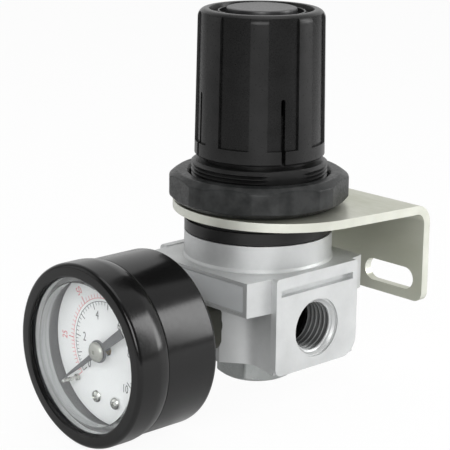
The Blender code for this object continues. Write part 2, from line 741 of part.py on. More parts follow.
def make_valve_group():
    hex_top = -BODY_BOTTOM - SEAT_GAP
    hex_bottom = hex_top - GUIDE_HEX_HEIGHT
    neck_top = hex_top + GUIDE_NECK_LENGTH
    floor = neck_top - GUIDE_BORE_DEPTH
    guide = turned("valve_guide", [
        (GUIDE_NECK_RADIUS, neck_top),
        (GUIDE_NECK_RADIUS, hex_top),
        (GUIDE_HEX_CORNER_RADIUS, hex_top),
        (GUIDE_HEX_CORNER_RADIUS, hex_bottom + GUIDE_HEX_CHAMFER),
        (GUIDE_HEX_CORNER_RADIUS - GUIDE_HEX_CHAMFER * 1.7, hex_bottom),
        (GUIDE_DIMPLE_RADIUS, hex_bottom),
        (GUIDE_DIMPLE_RADIUS, hex_bottom + GUIDE_DIMPLE_DEPTH),
        (0, hex_bottom + GUIDE_DIMPLE_DEPTH),
        (0, floor),
        (GUIDE_BORE_RADIUS, floor),
        (GUIDE_BORE_RADIUS, neck_top),
    ], "guide_aluminium", 30, True)
    hex_outline = polygon(6, GUIDE_HEX_ACROSS_FLATS)
    keep_inside(guide, flat("guide_hexagon", [hex_outline], hex_bottom - CUT_OVERRUN, neck_top + CUT_OVERRUN))

    ring_radius = GUIDE_NECK_RADIUS + SEAT_GAP + O_RING_SECTION
    ring_level = hex_top + SEAT_GAP + O_RING_SECTION
    ring_section = [
        (ring_radius + O_RING_SECTION * math.cos(turn), ring_level - O_RING_SECTION * math.sin(turn))
        for turn in (2 * math.pi * k / 6 for k in range(6))
    ]
    turned("guide_o_ring", ring_section, "seal_rubber", 20, True)

    seal_top = VALVE_CHAMBER_TOP - VALVE_SEAT_LIP_DROP - SEAT_GAP
    seal_bottom = seal_top - SEAL_THICKNESS
    flange_top = seal_bottom - SEAT_GAP
    flange_bottom = flange_top - STEM_FLANGE_THICKNESS
    stem_top = rivet_bottom() - SEAT_GAP
    turned("valve_seal", tube_profile(SEAL_RADIUS, STEM_RADIUS + SEAT_GAP, seal_bottom, seal_top), "seal_rubber", 24, True)
    turned("valve_stem", [
        (0, stem_top),
        (STEM_RADIUS * 0.6, stem_top),
        (STEM_RADIUS, stem_top - STEM_RADIUS * 0.5),
        (STEM_RADIUS, flange_top),
        (STEM_FLANGE_RADIUS, flange_top),
        (STEM_FLANGE_RADIUS, flange_bottom),
        (STEM_TAIL_RADIUS, flange_bottom),
        (STEM_TAIL_RADIUS, flange_bottom - STEM_TAIL_LENGTH),
        (0, flange_bottom - STEM_TAIL_LENGTH),
    ], "brass", SMALL_STEPS)
    wire = VALVE_SPRING_WIRE / 2
    coil = helix(
        VALVE_SPRING_RADIUS, floor + SEAT_GAP + wire, flange_bottom - SEAT_GAP - wire, VALVE_SPRING_TURNS, 8)
    wire_mesh("valve_spring", coil, wire, 1, "spring_steel")


def diaphragm_bottom():
    return DIAPHRAGM_SEAT_HEIGHT + SEAT_GAP


def rivet_bottom():
    return diaphragm_bottom() - SEAT_GAP - RIVET_FLANGE_THICKNESS


def plate_bottom():
    return diaphragm_bottom() + DIAPHRAGM_THICKNESS + SEAT_GAP


def plate_top():
    return plate_bottom() + PLATE_THICKNESS


def make_diaphragm_group():
    low = diaphragm_bottom()
    high = low + DIAPHRAGM_THICKNESS
    roll_middle = (DIAPHRAGM_ROLL_INNER + DIAPHRAGM_ROLL_OUTER) / 2
    roll_half = (DIAPHRAGM_ROLL_OUTER - DIAPHRAGM_ROLL_INNER) / 2
    rim_top = low + DIAPHRAGM_RIM_THICKNESS
    upper_roll = [
        (roll_middle + roll_half * math.cos(turn), high + DIAPHRAGM_ROLL_RISE * math.sin(turn))
        for turn in (math.pi * k / 4 for k in (1, 2, 3))
    ]
    inner_half = roll_half - DIAPHRAGM_THICKNESS
    lower_roll = [
        (roll_middle - inner_half * math.cos(turn), low + DIAPHRAGM_ROLL_RISE * math.sin(turn))
        for turn in (math.pi * k / 4 for k in (0, 1, 2, 3, 4))
    ]
    profile = [(DIAPHRAGM_RIM_RADIUS, rim_top), (DIAPHRAGM_RIM_RADIUS, low)]
    profile += list(reversed(lower_roll))
    profile += [(RIVET_RADIUS + SEAT_GAP, low), (RIVET_RADIUS + SEAT_GAP, high), (DIAPHRAGM_ROLL_INNER, high)]
    profile += list(reversed(upper_roll))
    profile += [(DIAPHRAGM_ROLL_OUTER, rim_top)]
    turned("diaphragm", profile, "seal_rubber", 24, True)

    turned("relief_seat", [
        (RIVET_RADIUS, plate_top() + RIVET_PROUD),
        (RIVET_RADIUS, low - SEAT_GAP),
        (RIVET_FLANGE_RADIUS, low - SEAT_GAP),
        (RIVET_FLANGE_RADIUS, rivet_bottom()),
        (RIVET_BORE_RADIUS, rivet_bottom()),
        (RIVET_BORE_RADIUS, plate_top() + RIVET_PROUD),
    ], "brass", SMALL_STEPS, True)
    lip = PLATE_THICKNESS
    turned("diaphragm_plate", [
        (PLATE_RADIUS, plate_top() + PLATE_LIP_HEIGHT),
        (PLATE_RADIUS, plate_bottom()),
        (RIVET_RADIUS + SEAT_GAP, plate_bottom()),
        (RIVET_RADIUS + SEAT_GAP, plate_top()),
        (PLATE_RADIUS - lip, plate_top()),
        (PLATE_RADIUS - lip, plate_top() + PLATE_LIP_HEIGHT),
    ], "steel", 24, True)
    nut_bottom = SPRING_NUT_TOP - SPRING_NUT_HEIGHT
    wire = MAIN_SPRING_WIRE / 2
    coil = helix(
        MAIN_SPRING_RADIUS - lip / 2, plate_top() + SEAT_GAP + wire, nut_bottom - SEAT_GAP - wire,
        MAIN_SPRING_TURNS, 10)
    wire_mesh("main_spring", coil, wire, 1, "spring_steel")


def make_bonnet():
    ring_bottom = NECK_TOP + SEAT_GAP
    ring_top = ring_bottom + BONNET_RING_HEIGHT
    step_top = BRACKET_UNDERSIDE - SEAT_GAP
    skirt_bottom = diaphragm_bottom() + DIAPHRAGM_RIM_THICKNESS + SEAT_GAP
    bead_low = SLEEVE_BEAD_LEVEL - SLEEVE_BEAD_HEIGHT / 2
    bead_high = SLEEVE_BEAD_LEVEL + SLEEVE_BEAD_HEIGHT / 2
    bonnet = turned("bonnet", [
        (SLEEVE_RADIUS - 0.0006, SLEEVE_TOP),
        (SLEEVE_RADIUS, SLEEVE_TOP - 0.0006),
        (SLEEVE_RADIUS, bead_high),
        (SLEEVE_BEAD_RADIUS, SLEEVE_BEAD_LEVEL),
        (SLEEVE_RADIUS, bead_low),
        (SLEEVE_RADIUS, THREAD_TOP),
        (THREAD_RADIUS - 0.0008, THREAD_TOP),
        (THREAD_RADIUS, THREAD_TOP - 0.0008),
        (THREAD_RADIUS, step_top),
        (BONNET_STEP_RADIUS, step_top),
        (BONNET_STEP_RADIUS, ring_top),
        (BONNET_RING_RADIUS, ring_top),
        (BONNET_RING_RADIUS, ring_bottom),
        (BONNET_SKIRT_RADIUS, ring_bottom),
        (BONNET_SKIRT_RADIUS, skirt_bottom),
        (BONNET_SKIRT_BORE, skirt_bottom),
        (BONNET_SKIRT_BORE, SPRING_CHAMBER_START - 0.003),
        (SPRING_CHAMBER_RADIUS, SPRING_CHAMBER_START),
        (SPRING_CHAMBER_RADIUS, SLEEVE_CEILING),
        (SCREW_HOLE_RADIUS, SLEEVE_CEILING),
        (SCREW_HOLE_RADIUS, SLEEVE_TOP),
    ], "bonnet_black", 40, True)
    grooves = block(
        "guide_grooves", (-GUIDE_GROOVE_REACH, -GUIDE_GROOVE_WIDTH / 2, SPRING_CHAMBER_START - 0.0005),
        (GUIDE_GROOVE_REACH, GUIDE_GROOVE_WIDTH / 2, GUIDE_GROOVE_TOP))
    cut(bonnet, grooves)
    for word, turn in (("front", THREAD_FLAT_TURN), ("back", THREAD_FLAT_TURN + math.pi)):
        flat_cut = block(
            "thread_flat_" + word, (THREAD_FLAT_REACH, -THREAD_RADIUS, BRACKET_UNDERSIDE - SEAT_GAP * 2),
            (THREAD_RADIUS + CUT_OVERRUN, THREAD_RADIUS, THREAD_TOP + CUT_OVERRUN), None, turned_about_z(turn))
        cut(bonnet, flat_cut)
    return bonnet


def make_screw_group():
    washer_top = SLEEVE_CEILING - SEAT_GAP
    washer_bottom = washer_top - WASHER_THICKNESS
    collar_top = washer_bottom - SEAT_GAP
    collar_bottom = collar_top - SCREW_COLLAR_THICKNESS
    turned("thrust_washer", tube_profile(
        WASHER_RADIUS, SCREW_HOLE_RADIUS, washer_bottom, washer_top), "steel", 24, True)
    screw = turned("adjusting_screw", [
        (0, collar_top),
        (SCREW_COLLAR_RADIUS, collar_top),
        (SCREW_COLLAR_RADIUS, collar_bottom),
        (SCREW_RADIUS, collar_bottom),
        (SCREW_RADIUS, SCREW_BOTTOM + 0.0006),
        (SCREW_RADIUS - 0.0006, SCREW_BOTTOM),
        (0, SCREW_BOTTOM),
    ], "steel", 24)
    hexagon = flat(
        "screw_hexagon", [polygon(6, SCREW_HEX_ACROSS_FLATS, KNOB_TURN)],
        collar_top - SCREW_COLLAR_THICKNESS / 2, SCREW_TOP)
    union(screw, hexagon)

    bottom = SPRING_NUT_TOP - SPRING_NUT_HEIGHT
    nut = turned("spring_nut", tube_profile(
        SPRING_NUT_RADIUS, SCREW_RADIUS + SEAT_GAP, bottom, SPRING_NUT_TOP), "brass", 24, True)
    # Two lugs slide in the bonnet's grooves and keep the nut from turning
    for side in (-1, 1):
        near = side * (SPRING_NUT_RADIUS - 0.0012)
        far = side * SPRING_NUT_LUG_REACH
        lug = block(
            "nut_lug_right" if side > 0 else "nut_lug_left",
            (min(near, far), -SPRING_NUT_LUG_WIDTH / 2, bottom + 0.0005),
            (max(near, far), SPRING_NUT_LUG_WIDTH / 2, SPRING_NUT_TOP - 0.0005))
        union(nut, lug)


def bracket_plan():
    """Top view outline: a wide rounded nose, sides that open out to the full width."""
    start = -math.acos(BRACKET_SIDE_START / BRACKET_NOSE_RADIUS)
    nose = arc((0, BRACKET_NOSE_CENTRE), BRACKET_NOSE_RADIUS, math.pi - start, 2 * math.pi + start, 28)
    rear = BRACKET_REACH + CUT_OVERRUN
    side_end = BRACKET_REACH - BRACKET_THICKNESS / 2 - BRACKET_BEND_RADIUS
    return nose + [
        (BRACKET_HALF_WIDTH, side_end), (BRACKET_HALF_WIDTH, rear),
        (-BRACKET_HALF_WIDTH, rear), (-BRACKET_HALF_WIDTH, side_end)]


def make_bracket():
    top = BRACKET_UNDERSIDE + BRACKET_THICKNESS
    nose = BRACKET_NOSE_CENTRE - BRACKET_NOSE_RADIUS - CUT_OVERRUN
    back = BRACKET_REACH
    front_face = back - BRACKET_THICKNESS
    inner_bend = BRACKET_BEND_RADIUS - BRACKET_THICKNESS
    outer = arc((back - BRACKET_BEND_RADIUS, top - BRACKET_BEND_RADIUS), BRACKET_BEND_RADIUS, 0, math.pi / 2, 6)
    inner = arc(
        (front_face - inner_bend, BRACKET_UNDERSIDE - inner_bend), inner_bend, math.pi / 2, 0, 4)
    side_profile = outer + [(nose, top), (nose, BRACKET_UNDERSIDE)] + inner + [
        (front_face, BRACKET_FOOT), (back, BRACKET_FOOT)]
    # The profile is drawn in Y and Z, then drawn out along X
    stand = Matrix(((0, 0, 1, 0), (1, 0, 0, 0), (0, 1, 0, 0), (0, 0, 0, 1)))
    bracket = flat(
        "bracket", [side_profile], -BRACKET_HALF_WIDTH - CUT_OVERRUN, BRACKET_HALF_WIDTH + CUT_OVERRUN,
        "zinc_plate", stand)
    plan = flat("bracket_plan", [bracket_plan()], BRACKET_FOOT - CUT_OVERRUN, top + CUT_OVERRUN)
    face_outline = rounded_rectangle(
        -BRACKET_HALF_WIDTH - CUT_OVERRUN / 4, BRACKET_HALF_WIDTH + CUT_OVERRUN / 4, -top - CUT_OVERRUN,
        -BRACKET_FOOT, (0.0005, 0.0005, BRACKET_FOOT_CORNER + CUT_OVERRUN / 4, BRACKET_FOOT_CORNER + CUT_OVERRUN / 4))
    face = flat("bracket_face", [face_outline], nose - CUT_OVERRUN, back + CUT_OVERRUN, None, REARWARD)
    keep_inside(bracket, plan, face)
    hole = rod("bracket_hole", BRACKET_HOLE_RADIUS, BRACKET_UNDERSIDE - CUT_OVERRUN, top + CUT_OVERRUN, None, TURN_STEPS)
    cut(bracket, hole)
    half_width = SLOT_WIDTH / 2
    straight = SLOT_LENGTH / 2 - half_width
    for side in (-1, 1):
        middle = side * (BRACKET_HALF_WIDTH - SLOT_END_MARGIN - SLOT_LENGTH / 2)
        outline = arc((middle + straight, -SLOT_LEVEL), half_width, -math.pi / 2, math.pi / 2, 10)
        outline += arc((middle - straight, -SLOT_LEVEL), half_width, math.pi / 2, 3 * math.pi / 2, 10)
        slot = flat(
            "slot_right" if side > 0 else "slot_left", [outline], front_face - CUT_OVERRUN, back + CUT_OVERRUN,
            None, REARWARD)
        cut(bracket, slot)


def make_panel_nut():
    bottom = BRACKET_UNDERSIDE + BRACKET_THICKNESS + SEAT_GAP
    top = bottom + NUT_HEIGHT
    corner = NUT_BORE_RADIUS + NUT_CORNER_WALL
    nut = turned("panel_nut", [
        (NUT_BORE_RADIUS + NUT_TOP_FACE_WIDTH, top),
        (corner, top - NUT_TOP_CHAMFER),
        (corner, bottom + NUT_BOTTOM_CHAMFER),
        (NUT_BORE_RADIUS + NUT_BOTTOM_FACE_WIDTH, bottom),
        (NUT_BORE_RADIUS, bottom),
        (NUT_BORE_RADIUS, top),
    ], "nut_black", TURN_STEPS, True)
    across_flats = 2 * (NUT_BORE_RADIUS + NUT_FLAT_WALL)
    octagon = flat(
        "nut_octagon", [polygon(8, across_flats, NUT_TURN)], bottom - CUT_OVERRUN, top + CUT_OVERRUN)
    keep_inside(nut, octagon)


def knob_radius(level):
    """Radius of the knob's drafted outside at a height."""
    share = (level - KNOB_BOTTOM) / (KNOB_SHOULDER_LEVEL - KNOB_BOTTOM)
    return KNOB_FOOT_RADIUS + (KNOB_SHOULDER_RADIUS - KNOB_FOOT_RADIUS) * share


def make_knob():
    turn = turned_about_z(KNOB_TURN)
    dish = KNOB_TOP - KNOB_DISH_DEPTH
    pocket_radius = COVER_RADIUS + SEAT_GAP
    pocket_floor = KNOB_TOP + COVER_CROWN - COVER_THICKNESS - SEAT_GAP
    ridge_top = dish + KNOB_RIDGE_HEIGHT
    ridge_half = KNOB_RIDGE_WIDTH / 2
    crown_start = KNOB_SHOULDER_RADIUS - KNOB_CROWN_WIDTH
    crown = [
        (crown_start + KNOB_CROWN_WIDTH * math.sin(turn), KNOB_SHOULDER_LEVEL + KNOB_CROWN_HEIGHT * math.cos(turn))
        for turn in (math.pi / 8 * k for k in range(5))
    ]
    knob = turned("knob", [
        (0, pocket_floor),
        (pocket_radius, pocket_floor),
        (pocket_radius, dish),
        (KNOB_RIDGE_RADIUS - ridge_half, dish),
        (KNOB_RIDGE_RADIUS - ridge_half, ridge_top),
        (KNOB_RIDGE_RADIUS + ridge_half, ridge_top),
        (KNOB_RIDGE_RADIUS + ridge_half, dish),
        (KNOB_RIM_RADIUS - 0.0003, dish),
        (KNOB_RIM_RADIUS, KNOB_TOP),
        *crown,
        (KNOB_FOOT_RADIUS, KNOB_BOTTOM + 0.0003),
        (KNOB_FOOT_RADIUS - 0.0003, KNOB_BOTTOM),
        (KNOB_SKIRT_BORE, KNOB_BOTTOM),
        (KNOB_SKIRT_BORE, KNOB_SKIRT_TOP),
        (KNOB_CAVITY_RADIUS, KNOB_SKIRT_TOP + 0.001),
        (KNOB_CAVITY_RADIUS, KNOB_CAVITY_TOP),
        (KNOB_HUB_RADIUS, KNOB_CAVITY_TOP),
        (KNOB_HUB_RADIUS, KNOB_HUB_BOTTOM),
        (0, KNOB_HUB_BOTTOM),
    ], "knob_black", TURN_STEPS, False, turn)
    socket_across_flats = SCREW_HEX_ACROSS_FLATS + 2 * SEAT_GAP
    socket = flat(
        "knob_socket", [polygon(6, socket_across_flats, 0.0)], KNOB_HUB_BOTTOM - CUT_OVERRUN, KNOB_HUB_HEX_TOP,
        None, turn)

    flute_floor_low = knob_radius(FLUTE_BOTTOM) - FLUTE_DEPTH
    flute_floor_high = knob_radius(FLUTE_TOP) - FLUTE_DEPTH
    beyond = KNOB_FOOT_RADIUS + CUT_OVERRUN
    flute_ring = turned("flute_ring", [
        (beyond, FLUTE_TOP), (beyond, FLUTE_BOTTOM), (flute_floor_low, FLUTE_BOTTOM), (flute_floor_high, FLUTE_TOP),
    ], None, TURN_STEPS, True, turn)
    wedges = []
    for k in range(FLUTE_COUNT):
        middle = 2 * math.pi * k / FLUTE_COUNT
        edge = beyond + CUT_OVERRUN
        root = KNOB_HUB_RADIUS
        outline = arc((0, 0), root, middle + FLUTE_ANGLE / 2, middle - FLUTE_ANGLE / 2, 1)
        outline += arc((0, 0), edge, middle - FLUTE_ANGLE / 2, middle + FLUTE_ANGLE / 2, 2)
        wedges.append(flat(
            "flute_wedge_%d" % k, [outline], FLUTE_BOTTOM - CUT_OVERRUN, FLUTE_TOP + CUT_OVERRUN))
    flute_wedges = joined("flute_wedges", wedges, turn)
    keep_inside(flute_ring, flute_wedges)
    cut(knob, flute_ring, socket)

    half = SNAP_SLIT_WIDTH / 2
    straight_top = SNAP_SLIT_TOP - half
    outline = arc((0, straight_top), half, 0, math.pi, 5)
    outline += [(-half, KNOB_BOTTOM - CUT_OVERRUN), (half, KNOB_BOTTOM - CUT_OVERRUN)]
    for k in range(SNAP_SLIT_COUNT):
        angle = KNOB_TURN + 2 * math.pi * k / SNAP_SLIT_COUNT
        # Drawn upright in Y and Z, and pushed out through the skirt
        stand = Matrix(((0, 0, 1, 0), (1, 0, 0, 0), (0, 1, 0, 0), (0, 0, 0, 1)))
        slit = flat(
            "snap_slit_%d" % k, [outline], KNOB_HUB_RADIUS + CUT_OVERRUN, beyond, None,
            turned_about_z(angle) @ stand)
        cut(knob, slit)

    cover_top = KNOB_TOP + COVER_CROWN
    turned("knob_cover", [
        (0, cover_top),
        (COVER_RADIUS * 0.55, cover_top - COVER_CROWN * 0.3),
        (COVER_RADIUS - 0.0004, cover_top - COVER_CROWN),
        (COVER_RADIUS, cover_top - COVER_CROWN - 0.0004),
        (COVER_RADIUS, cover_top - COVER_THICKNESS),
        (0, cover_top - COVER_THICKNESS),
    ], "cover_black", 32)


def make_rear_plug():
    outer = CORE_FLAT_REACH - 0.0006
    plug = rod(
        "rear_port_plug", GAUGE_PORT_RADIUS - SEAT_GAP, CORE_FLAT_REACH - GAUGE_PORT_DEPTH + SEAT_GAP * 2, outer,
        "steel", 24, REARWARD)
    socket = flat("plug_socket", [polygon(6, 0.005)], outer - 0.0038, outer + CUT_OVERRUN, None, REARWARD)
    cut(plug, socket)


def make_gauge_shell():
    case_floor = CASE_BACK + CASE_BACK_THICKNESS
    turned("gauge_case", [
        (CASE_NOSE_RADIUS, CASE_FRONT),
        (CASE_NOSE_RADIUS, CASE_NOSE_START),
        (CASE_RADIUS, CASE_NOSE_START),
        (CASE_RADIUS, CASE_BACK + CASE_BACK_EDGE),
        (CASE_RADIUS - CASE_BACK_EDGE, CASE_BACK),
        (STEM_POST_RADIUS + SEAT_GAP, CASE_BACK),
        (STEM_POST_RADIUS + SEAT_GAP, case_floor),
        (CASE_BORE_RADIUS, case_floor),
        (CASE_BORE_RADIUS, CASE_FRONT),
    ], "gauge_black", TURN_STEPS, True, FORWARD)
    lip_back = BEZEL_FRONT - BEZEL_LIP_THICKNESS
    edge = BEZEL_EDGE_RADIUS
    turned("gauge_bezel", [
        (BEZEL_WINDOW_RADIUS + edge, BEZEL_FRONT),
        (BEZEL_RADIUS - edge, BEZEL_FRONT),
        (BEZEL_RADIUS - edge * 0.3, BEZEL_FRONT - edge * 0.3),
        (BEZEL_RADIUS, BEZEL_FRONT - edge),
        (BEZEL_RADIUS, BEZEL_BACK + BEZEL_BACK_TAPER_LENGTH),
        (BEZEL_RADIUS - BEZEL_BACK_TAPER_DEPTH, BEZEL_BACK),
        (BEZEL_BORE_RADIUS, BEZEL_BACK),
        (BEZEL_BORE_RADIUS, lip_back),
        (BEZEL_WINDOW_RADIUS, lip_back),
        (BEZEL_WINDOW_RADIUS, BEZEL_FRONT - edge * 0.4),
    ], "gauge_black", TURN_STEPS, True, FORWARD)
    lens_front = lip_back - SEAT_GAP
    lens_back = lens_front - LENS_THICKNESS
    turned("gauge_lens", [
        (0, lens_front),
        (LENS_FLANGE_RADIUS, lens_front),
        (LENS_FLANGE_RADIUS, lens_back),
        (LENS_SKIRT_RADIUS, lens_back),
        (LENS_SKIRT_RADIUS, LENS_SKIRT_BACK),
        (LENS_SKIRT_BORE, LENS_SKIRT_BACK),
        (LENS_SKIRT_BORE, lens_back),
        (0, lens_back),
    ], "lens_clear", TURN_STEPS, False, FORWARD)
    turned("lens_gasket", tube_profile(
        LENS_FLANGE_RADIUS, GASKET_BORE_RADIUS, CASE_FRONT + SEAT_GAP, lens_back - SEAT_GAP),
        "seal_rubber", 24, True, FORWARD)


def make_gauge_stem():
    stem = turned("gauge_stem", [
        (0, STEM_BLOCK_FRONT - 0.0006),
        (STEM_POST_RADIUS, STEM_BLOCK_FRONT - 0.0006),
        (STEM_POST_RADIUS, CASE_BACK - SEAT_GAP),
        (GAUGE_SQUARE_CORNER_RADIUS, CASE_BACK - SEAT_GAP),
        (GAUGE_SQUARE_CORNER_RADIUS, GAUGE_SQUARE_START + 0.0005),
        (GAUGE_SQUARE_CORNER_RADIUS - 0.0005, GAUGE_SQUARE_START),
        (GAUGE_STEM_RADIUS, GAUGE_SQUARE_START),
        (GAUGE_STEM_RADIUS, GAUGE_STEM_START + 0.0005),
        (GAUGE_STEM_RADIUS - 0.0005, GAUGE_STEM_START),
        (0, GAUGE_STEM_START),
    ], "brass", 24, False, FORWARD)
    half = GAUGE_SQUARE_WIDTH / 2
    square = flat(
        "stem_square", [[(-half, -half), (half, -half), (half, half), (-half, half)]],
        GAUGE_STEM_START - CUT_OVERRUN, STEM_BLOCK_FRONT + CUT_OVERRUN, None, FORWARD)
    keep_inside(stem, square)
    # In this frame the flat outline's second axis points up the regulator
    block_outline = rounded_rectangle(
        -STEM_BLOCK_HALF_WIDTH, STEM_BLOCK_HALF_WIDTH, -STEM_BLOCK_DROP, half * 0.7,
        (0.0012, 0.0012, 0.0012, 0.0012), 2)
    inner_block = flat(
        "stem_block", [block_outline], CASE_BACK + CASE_BACK_THICKNESS + SEAT_GAP, STEM_BLOCK_FRONT, None,
        FORWARD)
    bore = rod(
        "stem_bore", GAUGE_STEM_BORE_RADIUS, GAUGE_STEM_START - CUT_OVERRUN, GAUGE_STEM_BORE_END, None,
        PIN_STEPS, FORWARD)
    socket = block(
        "tube_socket", (-STEM_BLOCK_HALF_WIDTH, -TUBE_SOCKET_FRONT, -STEM_BLOCK_DROP),
        (STEM_BLOCK_HALF_WIDTH, -(STEM_BLOCK_FRONT - TUBE_TIP_THICKNESS), TUBE_SOCKET_TOP))
    union(stem, inner_block, socket)
    cut(stem, bore)


def sector_pivot():
    """Place of the sector's arbor below the pointer's, one centre distance away."""
    return (0.0, -GEAR_MODULE * (PINION_TEETH + SECTOR_FULL_TEETH) / 2)


def gear_outline(teeth, first, count, pitch_radius, phase):
    """Outline points of a run of teeth, counter-clockwise, each tooth narrowing to its tip."""
    pitch_angle = 2 * math.pi / teeth
    root = pitch_radius - TOOTH_DEDENDUM
    tip = pitch_radius + TOOTH_ADDENDUM
    wide = pitch_angle * TOOTH_FILL * 0.72
    narrow = pitch_angle * TOOTH_FILL * 0.30
    points = []
    for k in range(first, first + count):
        middle = phase + k * pitch_angle
        for radius, offset in ((root, -wide), (tip, -narrow), (tip, narrow), (root, wide)):
            points.append((radius * math.cos(middle + offset), radius * math.sin(middle + offset)))
    return points


def make_movement():
    pivot = sector_pivot()
    plates = (
        ("movement_back_plate", MOVEMENT_BACK_PLATE, MOVEMENT_BACK_PLATE_BOTTOM, ()),
        ("movement_front_plate", MOVEMENT_FRONT_PLATE, MOVEMENT_FRONT_PLATE_BOTTOM, (-1, 1)),
    )
    pillar_places = ((-PILLAR_SPREAD, -PILLAR_DROP), (PILLAR_SPREAD, -PILLAR_DROP))
    for name, level, bottom, screw_sides in plates:
        outline = rounded_rectangle(
            -MOVEMENT_PLATE_HALF_WIDTH, MOVEMENT_PLATE_HALF_WIDTH, -bottom, MOVEMENT_PLATE_TOP,
            (0.003, 0.003, 0.0015, 0.0015), 3)
        plate = flat(name, [outline], level, level + MOVEMENT_PLATE_THICKNESS, "brass", FORWARD)
        holes = [((0.0, 0.0), MOVEMENT_PLATE_HOLE_RADIUS), (pivot, MOVEMENT_PLATE_HOLE_RADIUS)]
        holes += [((side * DIAL_SCREW_SPREAD, -DIAL_SCREW_DROP), DIAL_SCREW_HOLE_RADIUS) for side in screw_sides]
        for index, (place, radius) in enumerate(holes):
            hole = rod(
                "%s_hole_%d" % (name, index), radius, level - CUT_OVERRUN,
                level + MOVEMENT_PLATE_THICKNESS + CUT_OVERRUN, None, PIN_STEPS,
                FORWARD @ Matrix.Translation((*place, 0)))
            cut(plate, hole)
    back = MOVEMENT_BACK_PLATE + MOVEMENT_PLATE_THICKNESS + SEAT_GAP
    front = MOVEMENT_FRONT_PLATE - SEAT_GAP
    for word, place in zip(("left", "right"), pillar_places):
        rod("movement_pillar_" + word, PILLAR_RADIUS, back, front, "brass", PIN_STEPS,
            FORWARD @ Matrix.Translation((*place, 0)))

    pinion_pitch = GEAR_MODULE * PINION_TEETH / 2
    sector_pitch = GEAR_MODULE * SECTOR_FULL_TEETH / 2
    arbor_end = POINTER_BACK + POINTER_THICKNESS
    arbor = rod("pinion_arbor", ARBOR_RADIUS, MOVEMENT_BACK_PLATE, arbor_end, "steel", PIN_STEPS, FORWARD)
    # A tooth of the pinion and a gap of the sector share the centre line at rest
    pinion = flat(
        "pinion_teeth", [gear_outline(PINION_TEETH, 0, PINION_TEETH, pinion_pitch, -math.pi / 2)],
        GEAR_PLANE, GEAR_PLANE + GEAR_THICKNESS, None, FORWARD)
    union(arbor, pinion)

    step = 2 * math.pi / SECTOR_FULL_TEETH
    spare_teeth = 1
    half_gap = step / 2
    teeth = gear_outline(
        SECTOR_FULL_TEETH, spare_teeth - SECTOR_TEETH + 1, SECTOR_TEETH, sector_pitch,
        math.pi / 2 - half_gap)
    hub = 0.0012
    first_angle = math.pi / 2 - half_gap + (spare_teeth - SECTOR_TEETH + 1) * step
    last_angle = math.pi / 2 - half_gap + spare_teeth * step
    web = [
        (hub * math.cos(last_angle + 0.9), hub * math.sin(last_angle + 0.9)),
        (hub * math.cos(first_angle - 0.9), hub * math.sin(first_angle - 0.9)),
    ]
    place = Matrix.Translation((*pivot, 0))
    sector = flat(
        "sector_gear", [teeth + web], GEAR_PLANE, GEAR_PLANE + GEAR_THICKNESS, "brass", FORWARD @ place)
    shaft = rod(
        "sector_shaft", ARBOR_RADIUS, MOVEMENT_BACK_PLATE, MOVEMENT_FRONT_PLATE + MOVEMENT_PLATE_THICKNESS, None,
        PIN_STEPS, FORWARD @ place)
    tail_turn = Matrix.Rotation(SECTOR_TAIL_ANGLE, 4, "Z")
    tail_outline = rounded_rectangle(
        -0.0008, SECTOR_TAIL_REACH + 0.0008, -0.0008, 0.0008, (0.0004, 0.0006, 0.0006, 0.0004), 2)
    tail = flat(
        "sector_tail", [tail_outline], GEAR_PLANE + GEAR_THICKNESS * 0.1, GEAR_PLANE + GEAR_THICKNESS * 0.9, None,
        FORWARD @ place @ tail_turn)
    pin = rod(
        "sector_pin", LINK_PIN_RADIUS, LINK_PLANE, GEAR_PLANE + GEAR_THICKNESS / 2, None, PIN_STEPS,
        FORWARD @ place @ tail_turn @ Matrix.Translation((SECTOR_TAIL_REACH, 0, 0)))
    union(sector, shaft, tail, pin)

    tail_end = (
        pivot[0] + SECTOR_TAIL_REACH * math.cos(SECTOR_TAIL_ANGLE),
        pivot[1] + SECTOR_TAIL_REACH * math.sin(SECTOR_TAIL_ANGLE))
    link_turn = Matrix.Rotation(math.atan2(LINK_RISE, LINK_REACH), 4, "Z")
    half = LINK_WIDTH / 2
    link_length = math.hypot(LINK_REACH, LINK_RISE)
    link_place = FORWARD @ Matrix.Translation((*tail_end, 0)) @ link_turn
    link = flat(
        "gauge_link", [rounded_rectangle(-half, link_length + half, -half, half, (half * 0.9,) * 4, 3)],
        LINK_PLANE, LINK_PLANE + LINK_THICKNESS, "brass", link_place)
    pin_hole = rod(
        "link_hole", LINK_HOLE_RADIUS, LINK_PLANE - CUT_OVERRUN, LINK_PLANE + LINK_THICKNESS + CUT_OVERRUN, None,
        PIN_STEPS, link_place)
    cut(link, pin_hole)


